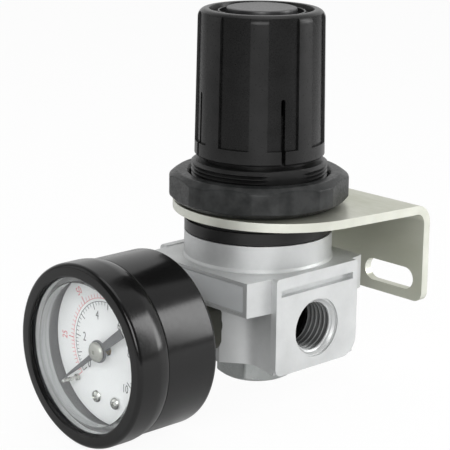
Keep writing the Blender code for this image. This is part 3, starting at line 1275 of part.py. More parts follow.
def make_bourdon_tube():
    """Flattened tube bent into a C round the movement, with the tip that the link hangs from."""
    count = 26
    outer = arc((0, 0), TUBE_RADIUS + TUBE_HALF_WIDTH, TUBE_START_ANGLE, TUBE_END_ANGLE, count)
    inner = arc((0, 0), TUBE_RADIUS - TUBE_HALF_WIDTH, TUBE_END_ANGLE, TUBE_START_ANGLE, count)
    flat(
        "bourdon_tube", [outer + inner], TUBE_PLANE - TUBE_HALF_DEPTH, TUBE_PLANE + TUBE_HALF_DEPTH, "brass",
        FORWARD)
    # The tip carries on from the tube's end and turns in towards the end of the link
    gap_angle = SEAT_GAP / TUBE_RADIUS
    start = arc((0, 0), TUBE_RADIUS, TUBE_END_ANGLE - gap_angle, TUBE_END_ANGLE - gap_angle * 8, 1)
    pivot = sector_pivot()
    link_end = (
        pivot[0] + SECTOR_TAIL_REACH * math.cos(SECTOR_TAIL_ANGLE) + LINK_REACH,
        pivot[1] + SECTOR_TAIL_REACH * math.sin(SECTOR_TAIL_ANGLE) + LINK_RISE)
    half = TUBE_TIP_WIDTH / 2
    outline = [
        (start[0][0] - half, start[0][1]),
        (start[1][0] - half, start[1][1]),
        (link_end[0] - half, link_end[1] + half),
        (link_end[0] - half, link_end[1] - half),
        (link_end[0] + half, link_end[1] - half),
        (start[1][0] + half, start[1][1] - half),
        (start[0][0] + half, start[0][1]),
    ]
    flat("bourdon_tip", [outline], TUBE_TIP_PLANE, TUBE_TIP_PLANE + TUBE_TIP_THICKNESS, "brass", FORWARD)


def make_dial():
    back = DIAL_FRONT - DIAL_THICKNESS
    dial = rod("gauge_dial", DIAL_RADIUS, back, DIAL_FRONT, "dial_white", TURN_STEPS, FORWARD)
    places = (
        (0.0, 0.0, DIAL_HOLE_RADIUS, "arbor"),
        (-DIAL_SCREW_SPREAD, -DIAL_SCREW_DROP, DIAL_SCREW_HOLE_RADIUS, "left"),
        (DIAL_SCREW_SPREAD, -DIAL_SCREW_DROP, DIAL_SCREW_HOLE_RADIUS, "right"),
    )
    for x, up, radius, word in places:
        hole = rod(
            "dial_hole_" + word, radius, back - CUT_OVERRUN, DIAL_FRONT + CUT_OVERRUN, None, PIN_STEPS,
            FORWARD @ Matrix.Translation((x, up, 0)))
        cut(dial, hole)
        if word == "arbor":
            continue
        head = DIAL_FRONT + SEAT_GAP
        turned("dial_screw_" + word, [
            (0, head + DIAL_SCREW_HEAD_HEIGHT),
            (DIAL_SCREW_HEAD_RADIUS * 0.6, head + DIAL_SCREW_HEAD_HEIGHT * 0.85),
            (DIAL_SCREW_HEAD_RADIUS, head + DIAL_SCREW_HEAD_HEIGHT * 0.3),
            (DIAL_SCREW_HEAD_RADIUS, head),
            (DIAL_SCREW_RADIUS, head),
            (DIAL_SCREW_RADIUS, head - DIAL_SCREW_LENGTH),
            (0, head - DIAL_SCREW_LENGTH),
        ], "nickel", 16, False, FORWARD @ Matrix.Translation((x, up, 0)))
    pin_x = STOP_PIN_REACH * math.cos(STOP_PIN_ANGLE)
    pin_up = STOP_PIN_REACH * math.sin(STOP_PIN_ANGLE)
    pin_back = DIAL_FRONT + SEAT_GAP
    rod("zero_stop_pin", STOP_PIN_RADIUS, pin_back, pin_back + STOP_PIN_LENGTH, "nickel", PIN_STEPS,
        FORWARD @ Matrix.Translation((pin_x, pin_up, 0)))


def make_pointer():
    aim = FORWARD @ Matrix.Rotation(POINTER_ANGLE, 4, "Z")
    hub_edge = math.sqrt(POINTER_HUB_RADIUS ** 2 - POINTER_ROOT_HALF_WIDTH ** 2)
    tail_edge = POINTER_HUB_RADIUS * math.cos(math.asin(POINTER_TAIL_HALF_WIDTH * 0.8 / POINTER_HUB_RADIUS))
    root_angle = math.atan2(POINTER_ROOT_HALF_WIDTH, hub_edge)
    tail_angle = math.atan2(POINTER_TAIL_HALF_WIDTH * 0.8, tail_edge)
    outline = [(POINTER_REACH, -POINTER_TIP_HALF_WIDTH), (POINTER_REACH, POINTER_TIP_HALF_WIDTH)]
    outline += arc((0, 0), POINTER_HUB_RADIUS, root_angle, math.pi - tail_angle, 5)
    outline += [
        (-POINTER_TAIL_REACH, POINTER_TAIL_HALF_WIDTH), (-POINTER_TAIL_REACH, -POINTER_TAIL_HALF_WIDTH)]
    outline += arc((0, 0), POINTER_HUB_RADIUS, math.pi + tail_angle, 2 * math.pi - root_angle, 5)
    pointer = flat("pointer", [outline], POINTER_BACK, POINTER_BACK + POINTER_THICKNESS, "pointer_grey", aim)
    hole = rod(
        "pointer_hole", POINTER_HOLE_RADIUS, POINTER_BACK - CUT_OVERRUN,
        POINTER_BACK + POINTER_THICKNESS + CUT_OVERRUN, None, PIN_STEPS, FORWARD)
    cut(pointer, hole)
    cap_back = POINTER_BACK + POINTER_THICKNESS + SEAT_GAP
    tube_back = POINTER_BACK - 0.0008
    turned("pointer_boss", [
        (0, cap_back + BOSS_HEIGHT),
        (BOSS_RADIUS * 0.55, cap_back + BOSS_HEIGHT * 0.85),
        (BOSS_RADIUS * 0.9, cap_back + BOSS_HEIGHT * 0.45),
        (BOSS_RADIUS, cap_back),
        (BOSS_TUBE_RADIUS, cap_back),
        (BOSS_TUBE_RADIUS, tube_back),
        (BOSS_BORE_RADIUS, tube_back),
        (BOSS_BORE_RADIUS, cap_back),
        (0, cap_back),
    ], "nickel", SMALL_STEPS, False, FORWARD)


def main():
    clear_scene()
    new_collection(PARTS)
    new_collection(TOOLS)
    axis = bpy.data.objects.new("regulator_axis", None)
    axis.location = (0, -BRACKET_REACH, -SLOT_LEVEL)
    bpy.data.collections[PARTS].objects.link(axis)
    add_materials()
    make_body()
    make_valve_group()
    make_diaphragm_group()
    make_bonnet()
    make_screw_group()
    make_bracket()
    make_panel_nut()
    make_knob()
    make_rear_plug()
    make_gauge_shell()
    make_gauge_stem()
    make_movement()
    make_bourdon_tube()
    make_dial()
    make_pointer()


main()
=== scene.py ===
"""Looks of the mini air regulator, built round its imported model.

Lengths are in millimetres on the regulator's own axes until a piece is placed: Z up the knob's
axis, X through the ports with 0 between them, and -Y out to the gauge. Gauge pieces are drawn
with Z as the distance forward, and then turned to face forward.
"""
import json
import math

import bmesh
import bpy
from mathutils import Matrix, Vector

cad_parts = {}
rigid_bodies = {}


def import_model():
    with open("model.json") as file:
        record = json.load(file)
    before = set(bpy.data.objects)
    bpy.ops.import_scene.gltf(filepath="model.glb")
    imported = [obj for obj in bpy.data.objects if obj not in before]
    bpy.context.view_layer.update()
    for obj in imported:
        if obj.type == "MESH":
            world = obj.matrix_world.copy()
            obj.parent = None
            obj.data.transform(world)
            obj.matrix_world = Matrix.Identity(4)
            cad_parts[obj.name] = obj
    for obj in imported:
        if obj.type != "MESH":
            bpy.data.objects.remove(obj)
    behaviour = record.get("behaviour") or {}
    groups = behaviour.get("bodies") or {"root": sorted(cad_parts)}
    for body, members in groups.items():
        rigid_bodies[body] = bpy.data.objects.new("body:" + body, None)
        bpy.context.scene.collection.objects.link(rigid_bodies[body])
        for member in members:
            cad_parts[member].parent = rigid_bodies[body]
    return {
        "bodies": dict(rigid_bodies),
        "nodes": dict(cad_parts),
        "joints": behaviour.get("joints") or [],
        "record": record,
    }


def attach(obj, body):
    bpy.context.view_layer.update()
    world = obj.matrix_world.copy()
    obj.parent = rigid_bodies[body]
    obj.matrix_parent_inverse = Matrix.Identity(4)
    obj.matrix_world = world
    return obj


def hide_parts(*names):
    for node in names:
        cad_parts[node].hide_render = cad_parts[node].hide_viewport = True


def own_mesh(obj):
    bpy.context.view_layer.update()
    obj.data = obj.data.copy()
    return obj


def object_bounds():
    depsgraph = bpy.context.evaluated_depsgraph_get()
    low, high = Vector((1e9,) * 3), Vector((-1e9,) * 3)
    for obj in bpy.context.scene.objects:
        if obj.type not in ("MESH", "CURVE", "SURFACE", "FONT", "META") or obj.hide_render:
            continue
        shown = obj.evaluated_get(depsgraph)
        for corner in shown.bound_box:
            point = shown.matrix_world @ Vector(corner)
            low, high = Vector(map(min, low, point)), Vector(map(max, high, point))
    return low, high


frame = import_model()
cad_low, cad_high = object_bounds()

AXIS = Vector((0.0, -0.030, -0.007))
UPRIGHT = Matrix.Identity(4)
FORWARD = Matrix.Rotation(math.pi / 2, 4, "X")
REARWARD = Matrix.Rotation(-math.pi / 2, 4, "X")
RIGHTWARD = Matrix.Rotation(math.pi / 2, 4, "Y")
LEFTWARD = Matrix.Rotation(-math.pi / 2, 4, "Y")
SIDEWAYS = Matrix(((0, 0, 1, 0), (1, 0, 0, 0), (0, 1, 0, 0), (0, 0, 0, 1)))
QUARTER = math.pi / 2
PER_METRE = 1000.0
MERGE_DISTANCE = 0.0005


# Modelling helpers

def make(name, shaped, frame=UPRIGHT):
    """Object from a bmesh, turned into the regulator's axes, still in millimetres."""
    bmesh.ops.remove_doubles(shaped, verts=shaped.verts, dist=MERGE_DISTANCE)
    bmesh.ops.recalc_face_normals(shaped, faces=shaped.faces)
    mesh = bpy.data.meshes.new(name)
    shaped.to_mesh(mesh)
    shaped.free()
    mesh.transform(frame)
    made = bpy.data.objects.new(name, mesh)
    bpy.context.scene.collection.objects.link(made)
    return made


def turned(name, profile, steps, frame=UPRIGHT):
    """Closed profile of radius and height, turned about the local Z axis."""
    shaped = bmesh.new()
    points = [shaped.verts.new((radius, 0, height)) for radius, height in profile]
    edges = [shaped.edges.new(pair) for pair in zip(points, points[1:])]
    if profile[0][0] > 0 or profile[-1][0] > 0:
        edges.append(shaped.edges.new((points[-1], points[0])))
    bmesh.ops.spin(
        shaped, geom=points + edges, cent=(0, 0, 0), axis=(0, 0, 1), angle=2 * math.pi, steps=steps,
        use_merge=True)
    return make(name, shaped, frame)


def rod(name, radius, low, high, steps, frame=UPRIGHT):
    return turned(name, [(0, high), (radius, high), (radius, low), (0, low)], steps, frame)


def flat(name, outline, low, high, frame=UPRIGHT):
    """Flat outline drawn up between two heights."""
    shaped = bmesh.new()
    face = shaped.faces.new([shaped.verts.new((x, y, low)) for x, y in outline])
    drawn = bmesh.ops.extrude_face_region(shaped, geom=[face])
    moved = [item for item in drawn["geom"] if isinstance(item, bmesh.types.BMVert)]
    bmesh.ops.translate(shaped, verts=moved, vec=(0, 0, high - low))
    return make(name, shaped, frame)


def block(name, low, high, frame=UPRIGHT):
    shaped = bmesh.new()
    bmesh.ops.create_cube(shaped, size=1)
    bmesh.ops.scale(shaped, verts=shaped.verts, vec=[b - a for a, b in zip(low, high)])
    bmesh.ops.translate(shaped, verts=shaped.verts, vec=[(a + b) / 2 for a, b in zip(low, high)])
    return make(name, shaped, frame)


def arc(centre, radius, start, end, count):
    span = end - start
    return [
        (centre[0] + radius * math.cos(start + span * k / count),
         centre[1] + radius * math.sin(start + span * k / count))
        for k in range(count + 1)
    ]


def rounded_rectangle(left, right, bottom, top, corners, count=8):
    low_left, low_right, high_right, high_left = corners
    points = arc((left + low_left, bottom + low_left), low_left, 2 * QUARTER, 3 * QUARTER, count)
    points += arc((right - low_right, bottom + low_right), low_right, -QUARTER, 0, count)
    points += arc((right - high_right, top - high_right), high_right, 0, QUARTER, count)
    points += arc((left + high_left, top - high_left), high_left, QUARTER, 2 * QUARTER, count)
    return points


def polygon(sides, across_flats, turn=0.0):
    corner = across_flats / 2 / math.cos(math.pi / sides)
    steps = [turn + 2 * math.pi * k / sides for k in range(sides)]
    return [(corner * math.cos(step), corner * math.sin(step)) for step in steps]


def bake(piece):
    """Applies a piece's modifiers."""
    depsgraph = bpy.context.evaluated_depsgraph_get()
    old = piece.data
    piece.data = bpy.data.meshes.new_from_object(piece.evaluated_get(depsgraph))
    piece.modifiers.clear()
    piece.data.name = piece.name
    bpy.data.meshes.remove(old)


def combine(target, tools, operation):
    for tool in tools:
        change = target.modifiers.new(operation, "BOOLEAN")
        change.operation = operation
        change.solver = "EXACT"
        change.object = tool
        bake(target)
        bpy.data.objects.remove(tool)


def cut(target, *tools):
    combine(target, tools, "DIFFERENCE")


def union(target, *tools):
    combine(target, tools, "UNION")


def keep_inside(target, *tools):
    combine(target, tools, "INTERSECT")


def soften(piece, width, segments, angle=28):
    """Rounds the edges that are sharper than the angle."""
    change = piece.modifiers.new("soften", "BEVEL")
    change.width = width
    change.segments = segments
    change.limit_method = "ANGLE"
    change.angle_limit = math.radians(angle)
    change.use_clamp_overlap = True
    change.miter_outer = "MITER_ARC"
    bake(piece)


def dressed(piece, material, body, node=None, sharp=34):
    """Shades a finished piece, moves it into the model's frame and hangs it on its body."""
    piece.data.transform(Matrix.Translation(AXIS) @ Matrix.Scale(1 / PER_METRE, 4))
    piece.data.materials.clear()
    piece.data.materials.append(material)
    piece.data.shade_smooth()
    piece.data.set_sharp_from_angle(angle=math.radians(sharp))
    weights = piece.modifiers.new("even_normals", "WEIGHTED_NORMAL")
    weights.keep_sharp = True
    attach(piece, body)
    if node:
        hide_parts(node)


def refinish(piece, material, chosen):
    """Another finish for the faces that are chosen by their middle, in millimetres, and normal."""
    piece.data.materials.append(material)
    slot = len(piece.data.materials) - 1
    for face in piece.data.polygons:
        if chosen((face.center - AXIS) * PER_METRE, face.normal):
            face.material_index = slot


# Materials

PATCH_STOPS = (0.35, 0.65)
PATCH_DETAIL = 4
GRAIN_DETAIL = 2
GRAIN_RANGE = (0.3, 0.7)
CAD_SHARP_ANGLE = math.radians(32)
WELD_DISTANCE = 0.000002


def nodes_of(name):
    material = bpy.data.materials.new(name)
    material.use_nodes = True
    tree = material.node_tree
    return material, tree, tree.nodes["Principled BSDF"]


def noise(tree, where, scale, detail, stretch):
    mapping = tree.nodes.new("ShaderNodeMapping")
    mapping.inputs["Scale"].default_value = stretch
    tree.links.new(where, mapping.inputs["Vector"])
    texture = tree.nodes.new("ShaderNodeTexNoise")
    texture.inputs["Scale"].default_value = scale
    texture.inputs["Detail"].default_value = detail
    tree.links.new(mapping.outputs["Vector"], texture.inputs["Vector"])
    return texture.outputs["Fac"]


def ramp(tree, value, stops):
    """Colour ramp between two stops, each a place and a colour."""
    made = tree.nodes.new("ShaderNodeValToRGB")
    for element, (place, colour) in zip(made.color_ramp.elements, stops):
        element.position = place
        element.color = (*colour, 1)
    tree.links.new(value, made.inputs["Fac"])
    return made.outputs["Color"]


def between(tree, value, low, high):
    made = tree.nodes.new("ShaderNodeMapRange")
    made.inputs["From Min"].default_value = GRAIN_RANGE[0]
    made.inputs["From Max"].default_value = GRAIN_RANGE[1]
    made.inputs["To Min"].default_value = low
    made.inputs["To Max"].default_value = high
    tree.links.new(value, made.inputs["Value"])
    return made.outputs["Result"]


def surface(name, dark, light, roughness, metallic, grain, bump, depth=0.00002, patch=120,
            stretch=(1, 1, 1), gloss=0.5):
    """Two close colours in soft patches, a fine grain in the bump and an uneven gloss."""
    material, tree, shader = nodes_of(name)
    where = tree.nodes.new("ShaderNodeTexCoord").outputs["Object"]
    patches = noise(tree, where, patch, PATCH_DETAIL, stretch)
    fine = noise(tree, where, grain, GRAIN_DETAIL, stretch)
    colour = ramp(tree, patches, zip(PATCH_STOPS, (dark, light)))
    tree.links.new(colour, shader.inputs["Base Color"])
    tree.links.new(between(tree, fine, *roughness), shader.inputs["Roughness"])
    relief = tree.nodes.new("ShaderNodeBump")
    relief.inputs["Strength"].default_value = bump
    relief.inputs["Distance"].default_value = depth
    tree.links.new(fine, relief.inputs["Height"])
    tree.links.new(relief.outputs["Normal"], shader.inputs["Normal"])
    shader.inputs["Metallic"].default_value = metallic
    shader.inputs["Specular IOR Level"].default_value = gloss
    return material


def make_lens_material():
    material, tree, shader = nodes_of("clear_acrylic")
    shader.inputs["Base Color"].default_value = (0.97, 0.985, 0.985, 1)
    shader.inputs["Roughness"].default_value = 0.02
    shader.inputs["IOR"].default_value = 1.45
    shader.inputs["Transmission Weight"].default_value = 1.0
    paths = tree.nodes.new("ShaderNodeLightPath")
    clear = tree.nodes.new("ShaderNodeBsdfTransparent")
    clear.inputs["Color"].default_value = (0.93, 0.94, 0.94, 1)
    blend = tree.nodes.new("ShaderNodeMixShader")
    tree.links.new(paths.outputs["Is Shadow Ray"], blend.inputs["Fac"])
    tree.links.new(shader.outputs["BSDF"], blend.inputs[1])
    tree.links.new(clear.outputs["BSDF"], blend.inputs[2])
    output = tree.nodes["Material Output"]
    tree.links.new(blend.outputs["Shader"], output.inputs["Surface"])
    return material


def make_clouded_material():
    """Moulded edge of the window, which scatters a little of the light."""
    material, tree, shader = nodes_of("clouded_acrylic")
    where = tree.nodes.new("ShaderNodeTexCoord").outputs["Object"]
    streaks = noise(tree, where, scale=60, detail=2, stretch=(1, 14, 1))
    colour = ramp(tree, streaks, [(0.4, (0.46, 0.47, 0.47)), (0.6, (0.66, 0.67, 0.67))])
    tree.links.new(colour, shader.inputs["Base Color"])
    shader.inputs["Roughness"].default_value = 0.22
    shader.inputs["IOR"].default_value = 1.45
    shader.inputs["Transmission Weight"].default_value = 0.55
    return material


casting = surface(
    "cast_aluminium", dark=(0.53, 0.54, 0.54), light=(0.62, 0.63, 0.63), roughness=(0.42, 0.54),
    metallic=0.6, grain=1500, bump=0.22, depth=0.00002, patch=90)
# Machined aluminium for the port's bore, made darker than its own colour as painted shade inside the
# bore
machined_and_shaded = surface(
    "machined_aluminium_and_painted_shade", dark=(0.24, 0.245, 0.245), light=(0.30, 0.305, 0.305),
    roughness=(0.44, 0.50), metallic=0.9, grain=900, bump=0.02, depth=0.00001, patch=200)
# Darker aluminium for the flanks and roots of the port threads: painted shade in the grooves
groove_painted_shade = surface(
    "thread_groove_painted_shade", dark=(0.13, 0.133, 0.133), light=(0.17, 0.174, 0.174),
    roughness=(0.40, 0.46), metallic=0.85, grain=900, bump=0.02, depth=0.00001)
# Near-black for the deep end of each port's bore: painted shade
bore_shade = surface(
    "deep_bore_painted_shade", dark=(0.003, 0.003, 0.003), light=(0.005, 0.005, 0.005), roughness=(0.6, 0.7),
    metallic=0, grain=900, bump=0.02, gloss=0.05)
guide_metal = surface(
    "guide_aluminium", dark=(0.34, 0.355, 0.35), light=(0.42, 0.435, 0.43),
    roughness=(0.26, 0.36), metallic=0.9, grain=2200, bump=0.08, depth=0.00002, patch=160)
zinc = surface(
    "zinc_plate", dark=(0.42, 0.43, 0.34), light=(0.56, 0.565, 0.495), roughness=(0.30, 0.42),
    metallic=0.7, grain=900, bump=0.10, depth=0.00003, patch=45, stretch=(0.35, 1, 1))
# Lighter zinc for the bracket's front and side edges: a painted highlight
zinc_painted_highlight = surface(
    "zinc_plate_painted_highlight", dark=(0.60, 0.61, 0.54), light=(0.71, 0.72, 0.65), roughness=(0.34, 0.46),
    metallic=0.6, grain=900, bump=0.08, depth=0.00002, patch=90)
bonnet_black = surface(
    "bonnet_black_plastic", dark=(0.007, 0.007, 0.007), light=(0.014, 0.014, 0.014),
    roughness=(0.30, 0.42), metallic=0, grain=3200, bump=0.15, gloss=0.28)
nut_black = surface(
    "nut_black_plastic", dark=(0.011, 0.012, 0.012), light=(0.030, 0.031, 0.031),
    roughness=(0.34, 0.50), metallic=0, grain=1600, bump=0.35, depth=0.00004, patch=320,
    gloss=0.26)
knob_black = surface(
    "knob_black_plastic", dark=(0.008, 0.008, 0.008), light=(0.014, 0.014, 0.014),
    roughness=(0.26, 0.38), metallic=0, grain=2400, bump=0.26, depth=0.00003, patch=160,
    gloss=0.22)
# Darker black for the floors of the knob's flutes: painted shade in the hollows
flute_painted_shade = surface(
    "knob_flute_painted_shade", dark=(0.004, 0.004, 0.004), light=(0.007, 0.007, 0.007),
    roughness=(0.24, 0.34), metallic=0, grain=2400, bump=0.20, depth=0.00003, patch=160,
    gloss=0.19)
cover_black = surface(
    "cover_black_plastic", dark=(0.016, 0.016, 0.017), light=(0.024, 0.024, 0.025),
    roughness=(0.34, 0.44), metallic=0, grain=3400, bump=0.15)
gauge_black = surface(
    "gauge_gloss_black", dark=(0.003, 0.003, 0.003), light=(0.005, 0.005, 0.005),
    roughness=(0.15, 0.22), metallic=0, grain=1500, bump=0.05, depth=0.00002, patch=60,
    gloss=0.32)
inside_grey = surface(
    "gauge_inner_wall", dark=(0.085, 0.085, 0.088), light=(0.11, 0.11, 0.114),
    roughness=(0.45, 0.55), metallic=0, grain=1500, bump=0.08)
dial_white = surface(
    "dial_white_paint", dark=(0.83, 0.83, 0.83), light=(0.87, 0.87, 0.87), roughness=(0.40, 0.50),
    metallic=0, grain=1200, bump=0.02, depth=0.00001, patch=80)
print_black = surface(
    "dial_print_black", dark=(0.025, 0.025, 0.028), light=(0.04, 0.04, 0.043),
    roughness=(0.5, 0.6), metallic=0, grain=3000, bump=0.05, depth=0.00001)
print_red = surface(
    "dial_print_red", dark=(0.62, 0.10, 0.12), light=(0.72, 0.15, 0.17), roughness=(0.5, 0.6),
    metallic=0, grain=3000, bump=0.05, depth=0.00001)
pointer_grey = surface(
    "pointer_dark_paint", dark=(0.075, 0.077, 0.082), light=(0.10, 0.102, 0.108),
    roughness=(0.40, 0.50), metallic=0, grain=2400, bump=0.08)
nickel = surface(
    "nickel_plate", dark=(0.52, 0.52, 0.49), light=(0.60, 0.60, 0.57), roughness=(0.22, 0.30),
    metallic=1, grain=900, bump=0.02, depth=0.00001)
boss_nickel = surface(
    "satin_nickel_boss", dark=(0.38, 0.38, 0.35), light=(0.45, 0.45, 0.41),
    roughness=(0.36, 0.44), metallic=0.7, grain=900, bump=0.02, depth=0.00001)
brass = surface(
    "turned_brass", dark=(0.66, 0.50, 0.22), light=(0.76, 0.60, 0.30), roughness=(0.22, 0.34),
    metallic=1, grain=1600, bump=0.12, depth=0.00002, patch=140)
steel = surface(
    "machined_steel", dark=(0.44, 0.44, 0.44), light=(0.56, 0.56, 0.55), roughness=(0.26, 0.38),
    metallic=1, grain=2000, bump=0.12, depth=0.00002, patch=150)
bronze = surface(
    "tube_bronze", dark=(0.56, 0.38, 0.18), light=(0.68, 0.48, 0.25), roughness=(0.26, 0.36),
    metallic=1, grain=1800, bump=0.08, depth=0.00002, patch=120)
rubber = surface(
    "seal_rubber", dark=(0.016, 0.016, 0.017), light=(0.028, 0.028, 0.029),
    roughness=(0.60, 0.75), metallic=0, grain=2800, bump=0.2, depth=0.00003)
label_plate = surface(
    "bare_label_strip", dark=(0.66, 0.68, 0.69), light=(0.72, 0.74, 0.75), roughness=(0.30, 0.34),
    metallic=0.4, grain=200, bump=0.0, depth=0.00001, patch=60)
# Near-black for the gauge stem: painted shade of the gap between the gauge and the body, not the
# brass's own colour
stem_painted_shade = surface(
    "stem_brass_painted_shade", dark=(0.03, 0.03, 0.024), light=(0.05, 0.05, 0.04), roughness=(0.44, 0.56),
    metallic=0.5, grain=1600, bump=0.08, depth=0.00002, patch=140)
acrylic = make_lens_material()
clouded = make_clouded_material()


# Body

CORE_BOTTOM, CORE_TOP = -9.0, 13.3
RIB_BOTTOM, RIB_TOP = 5.6, 13.7
FLANGE_BACK, FLANGE_FACE = 18.2, 20.0
LABEL_FLOOR, LABEL_FACE = 19.62, 19.78
PORT_THREAD_PITCH = 1.337
PORT_THREAD_RADII = (5.75, 6.5)
PORT_THREAD_DEPTHS = (9.6, 18.9)
# Shares of the pitch at which a ring leaves its root, starts and ends its crest, and is back
PORT_THREAD_SHARES = (0.06, 0.36, 0.64, 0.94)
# Distances from the middle along a port, and radii, between which its faces are refinished darker, as
# painted shade inside the bore
BORE_END, BORE_DARK_END, GROOVES_END, BORE_MOUTH = 9.5, 11.2, 18.3, 18.5
GROOVE_RADIUS, BORE_REACH = 5.95, 7.02


def four_quarters(front, rear):
    """Counter-clockwise plan from its front and rear quarters on the right side."""
    outline = [(x, -y) for x, y in front] + [(x, y) for x, y in reversed(rear)]
    return outline + [(-x, y) for x, y in rear] + [(-x, -y) for x, y in reversed(front)]


def core_quarter(neck):
    """From the flat over a slanted face and a hollow out to the port's neck."""
    return [
        (4.0, 16.0), (7.9, 13.05), (8.8, 12.4), (9.6, 11.93), (10.5, 11.6), (11.5, 11.5),
        (12.6, 11.65), (13.7, neck - 0.95), (15.2, neck - 0.65), (16.7, neck - 0.3),
        (18.2, neck + 0.15), (19.1, neck + 0.15)]


def port_thread(frame):
    """Cutter for a port's thread, as close rings."""
    low, high = PORT_THREAD_DEPTHS
    minor, major = PORT_THREAD_RADII
    count = round((high - low) / PORT_THREAD_PITCH)
    step = (high - low) / count
    profile = [(0, high), (major, high)]
    for k in range(count):
        top = high - k * step
        for radius, share in zip((major, minor, minor, major), PORT_THREAD_SHARES):
            profile.append((radius, top - step * share))
    profile += [(major, low), (0, low)]
    return turned("port_thread", profile, 96, frame)


def make_body():
    body = flat(
        "body", four_quarters(core_quarter(12.9), core_quarter(13.0)), CORE_BOTTOM, CORE_TOP)
    front_rib = [(17.2, FLANGE_FACE), (FLANGE_BACK, 13.0), (19.1, 13.0)]
    rear_rib = [(17.2, 17.5), (FLANGE_BACK, 13.1), (19.1, 13.1)]
    flange = rounded_rectangle(-13.3, 13.4, -9.3, 13.9, (2.0, 4.6, 0.8, 0.8))
    union(
        body,
        flat("ribs", four_quarters(front_rib, rear_rib), RIB_BOTTOM, RIB_TOP),
        turned("neck", [
            (0, 19.9), (17.5, 19.9), (17.5, 14.5), (17.9, 13.9), (17.9, 13.1), (16.6, 11.9),
            (16.6, 9.65), (0, 9.65)], 128),
        flat("flange", flange, FLANGE_BACK, FLANGE_FACE, SIDEWAYS),
        flat("flange", flange, -FLANGE_FACE, -FLANGE_BACK, SIDEWAYS))
    soften(body, 0.28, 3)
    cut(body, block("label_recess", (-16.0, -21, 6.4), (16.0, -19.6, 12.9)))
    for side, outward in ((-1, LEFTWARD), (1, RIGHTWARD)):
        inner, outer = sorted((side * 18.4, side * 21))
        cut(
            body,
            block("clamp_slot", (inner, -11.8, 9.5), (outer, 11.8, 11.1)),
            turned("port_mouth", [
                (0, 22), (7.0, 22), (7.0, 19.5), (6.6, 19.5), (5.8, 18.4), (0, 18.4)], 96, outward),
            port_thread(outward))
    cut(body, turned("valve_chamber", [
        (0, 1.6), (3.8, 1.6), (3.8, 2.2), (6.6, 2.2), (6.6, -7.7), (8.0, -7.7), (8.0, -11),
        (0, -11)], 64))
    cut(body, turned("upper_chambers", [
        (0, 22), (15.6, 22), (15.6, 14), (12.8, 14), (12.8, 11.8), (1.5, 11.8), (1.5, 9), (6, 9),
        (6, 4.5), (3, 4.5), (3, 1.0), (0, 1.0)], 64))
    cut(
        body,
        rod("inlet", 2.6, -10.7, -5.2, 24, Matrix.Translation((0, 0, -1.5)) @ RIGHTWARD),
        rod("outlet", 2.0, 0, 7.7, 24, slanted((11.0, 0, 3.5), (4.5, 0, 7.6))),
        rod("gauge_port_front", 4.6, 8.5, 18, 48, FORWARD),
        rod("gauge_port_rear", 4.6, 8.5, 18, 48, REARWARD))
    dressed(body, casting, "housing", "body", 30)
    # The bore gets painted shade: darkened machined metal, near-black at its deep end, darker flanks
    # and roots in the thread
    refinish(body, machined_and_shaded, lambda middle, normal: (
        BORE_END < abs(middle.x) < BORE_MOUTH and abs(normal.x) < 0.98
        and GROOVE_RADIUS < math.hypot(middle.y, middle.z) < BORE_REACH))
    refinish(body, bore_shade, lambda middle, normal: (
        BORE_END < abs(middle.x) < BORE_DARK_END
        and math.hypot(middle.y, middle.z) < BORE_REACH))
    refinish(body, groove_painted_shade, lambda middle, normal: (
        BORE_DARK_END < abs(middle.x) < GROOVES_END
        and GROOVE_RADIUS < math.hypot(middle.y, middle.z) < BORE_REACH))
    strip = flat(
        "label_strip", rounded_rectangle(-15.7, 15.7, 6.65, 12.65, (0.3, 0.3, 0.3, 0.3), 4),
        LABEL_FLOOR, LABEL_FACE, FORWARD)
    dressed(strip, label_plate, "housing")


def slanted(start, end):
    """Frame with its origin at the start and Z towards the end."""
    start, end = Vector(start), Vector(end)
    return Matrix.Translation(start) @ (end - start).to_track_quat("Z", "Y").to_matrix().to_4x4()


def make_valve_guide():
    guide = turned("valve_guide", [
        (6.3, -4.8), (6.3, -9.3), (9.6, -9.3), (9.6, -14.8), (7.73, -15.9), (4.0, -15.9),
        (4.0, -15.1), (0, -15.1), (0, -12.8), (4.6, -12.8), (4.6, -4.8)], 96)
    keep_inside(guide, flat("hexagon", polygon(6, 17.0), -18, -2))
    soften(guide, 0.15, 2, 25)
    dressed(guide, guide_metal, "housing", "valve_guide")


# Bonnet, bracket and panel nut

PANEL_THREAD_TOP, PANEL_THREAD_BOTTOM = 36.6, 26.6
PANEL_THREAD_PITCH = 0.95
PANEL_THREAD_RADII = (15.35, 15.98)
PANEL_THREAD_CREST = (0.42, 0.58)
THREAD_FLAT_TURN = -20
BRACKET_TOP, BRACKET_UNDERSIDE = 26.25, 24.15
BRACKET_ROUNDING = (25.2, 21.45)
BRACKET_SLOT_PLACE = 17
NUT_FLATS_TURN = 2.8


def make_bonnet():
    root, crest = PANEL_THREAD_RADII
    profile = [
        (12.0, 49.2), (12.6, 48.6), (12.6, 45.1), (12.9, 44.5), (12.6, 43.9), (12.6, 36.8),
        (15.2, 36.8)]
    level = PANEL_THREAD_TOP
    while level > PANEL_THREAD_BOTTOM:
        profile.append((root, level))
        profile += [(crest, level - PANEL_THREAD_PITCH * share) for share in PANEL_THREAD_CREST]
        level -= PANEL_THREAD_PITCH
    profile += [
        (root, level), (15.3, 23.85), (16.8, 23.85), (16.8, 23.0), (17.5, 22.9), (17.5, 20.2),
        (15.3, 20.2), (15.3, 15.7), (13.2, 15.7), (13.2, 23.2), (10.6, 26.2), (10.6, 46.3),
        (4.7, 46.3), (4.7, 49.2)]
    bonnet = turned("bonnet", profile, 128)
    for degrees in (THREAD_FLAT_TURN, THREAD_FLAT_TURN + 180):
        turn = Matrix.Rotation(math.radians(degrees), 4, "Z")
        cut(bonnet, block("thread_flat", (14.8, -17, 23.55), (18, 17, 38), turn))
    dressed(bonnet, bonnet_black, "housing", "bonnet", 40)


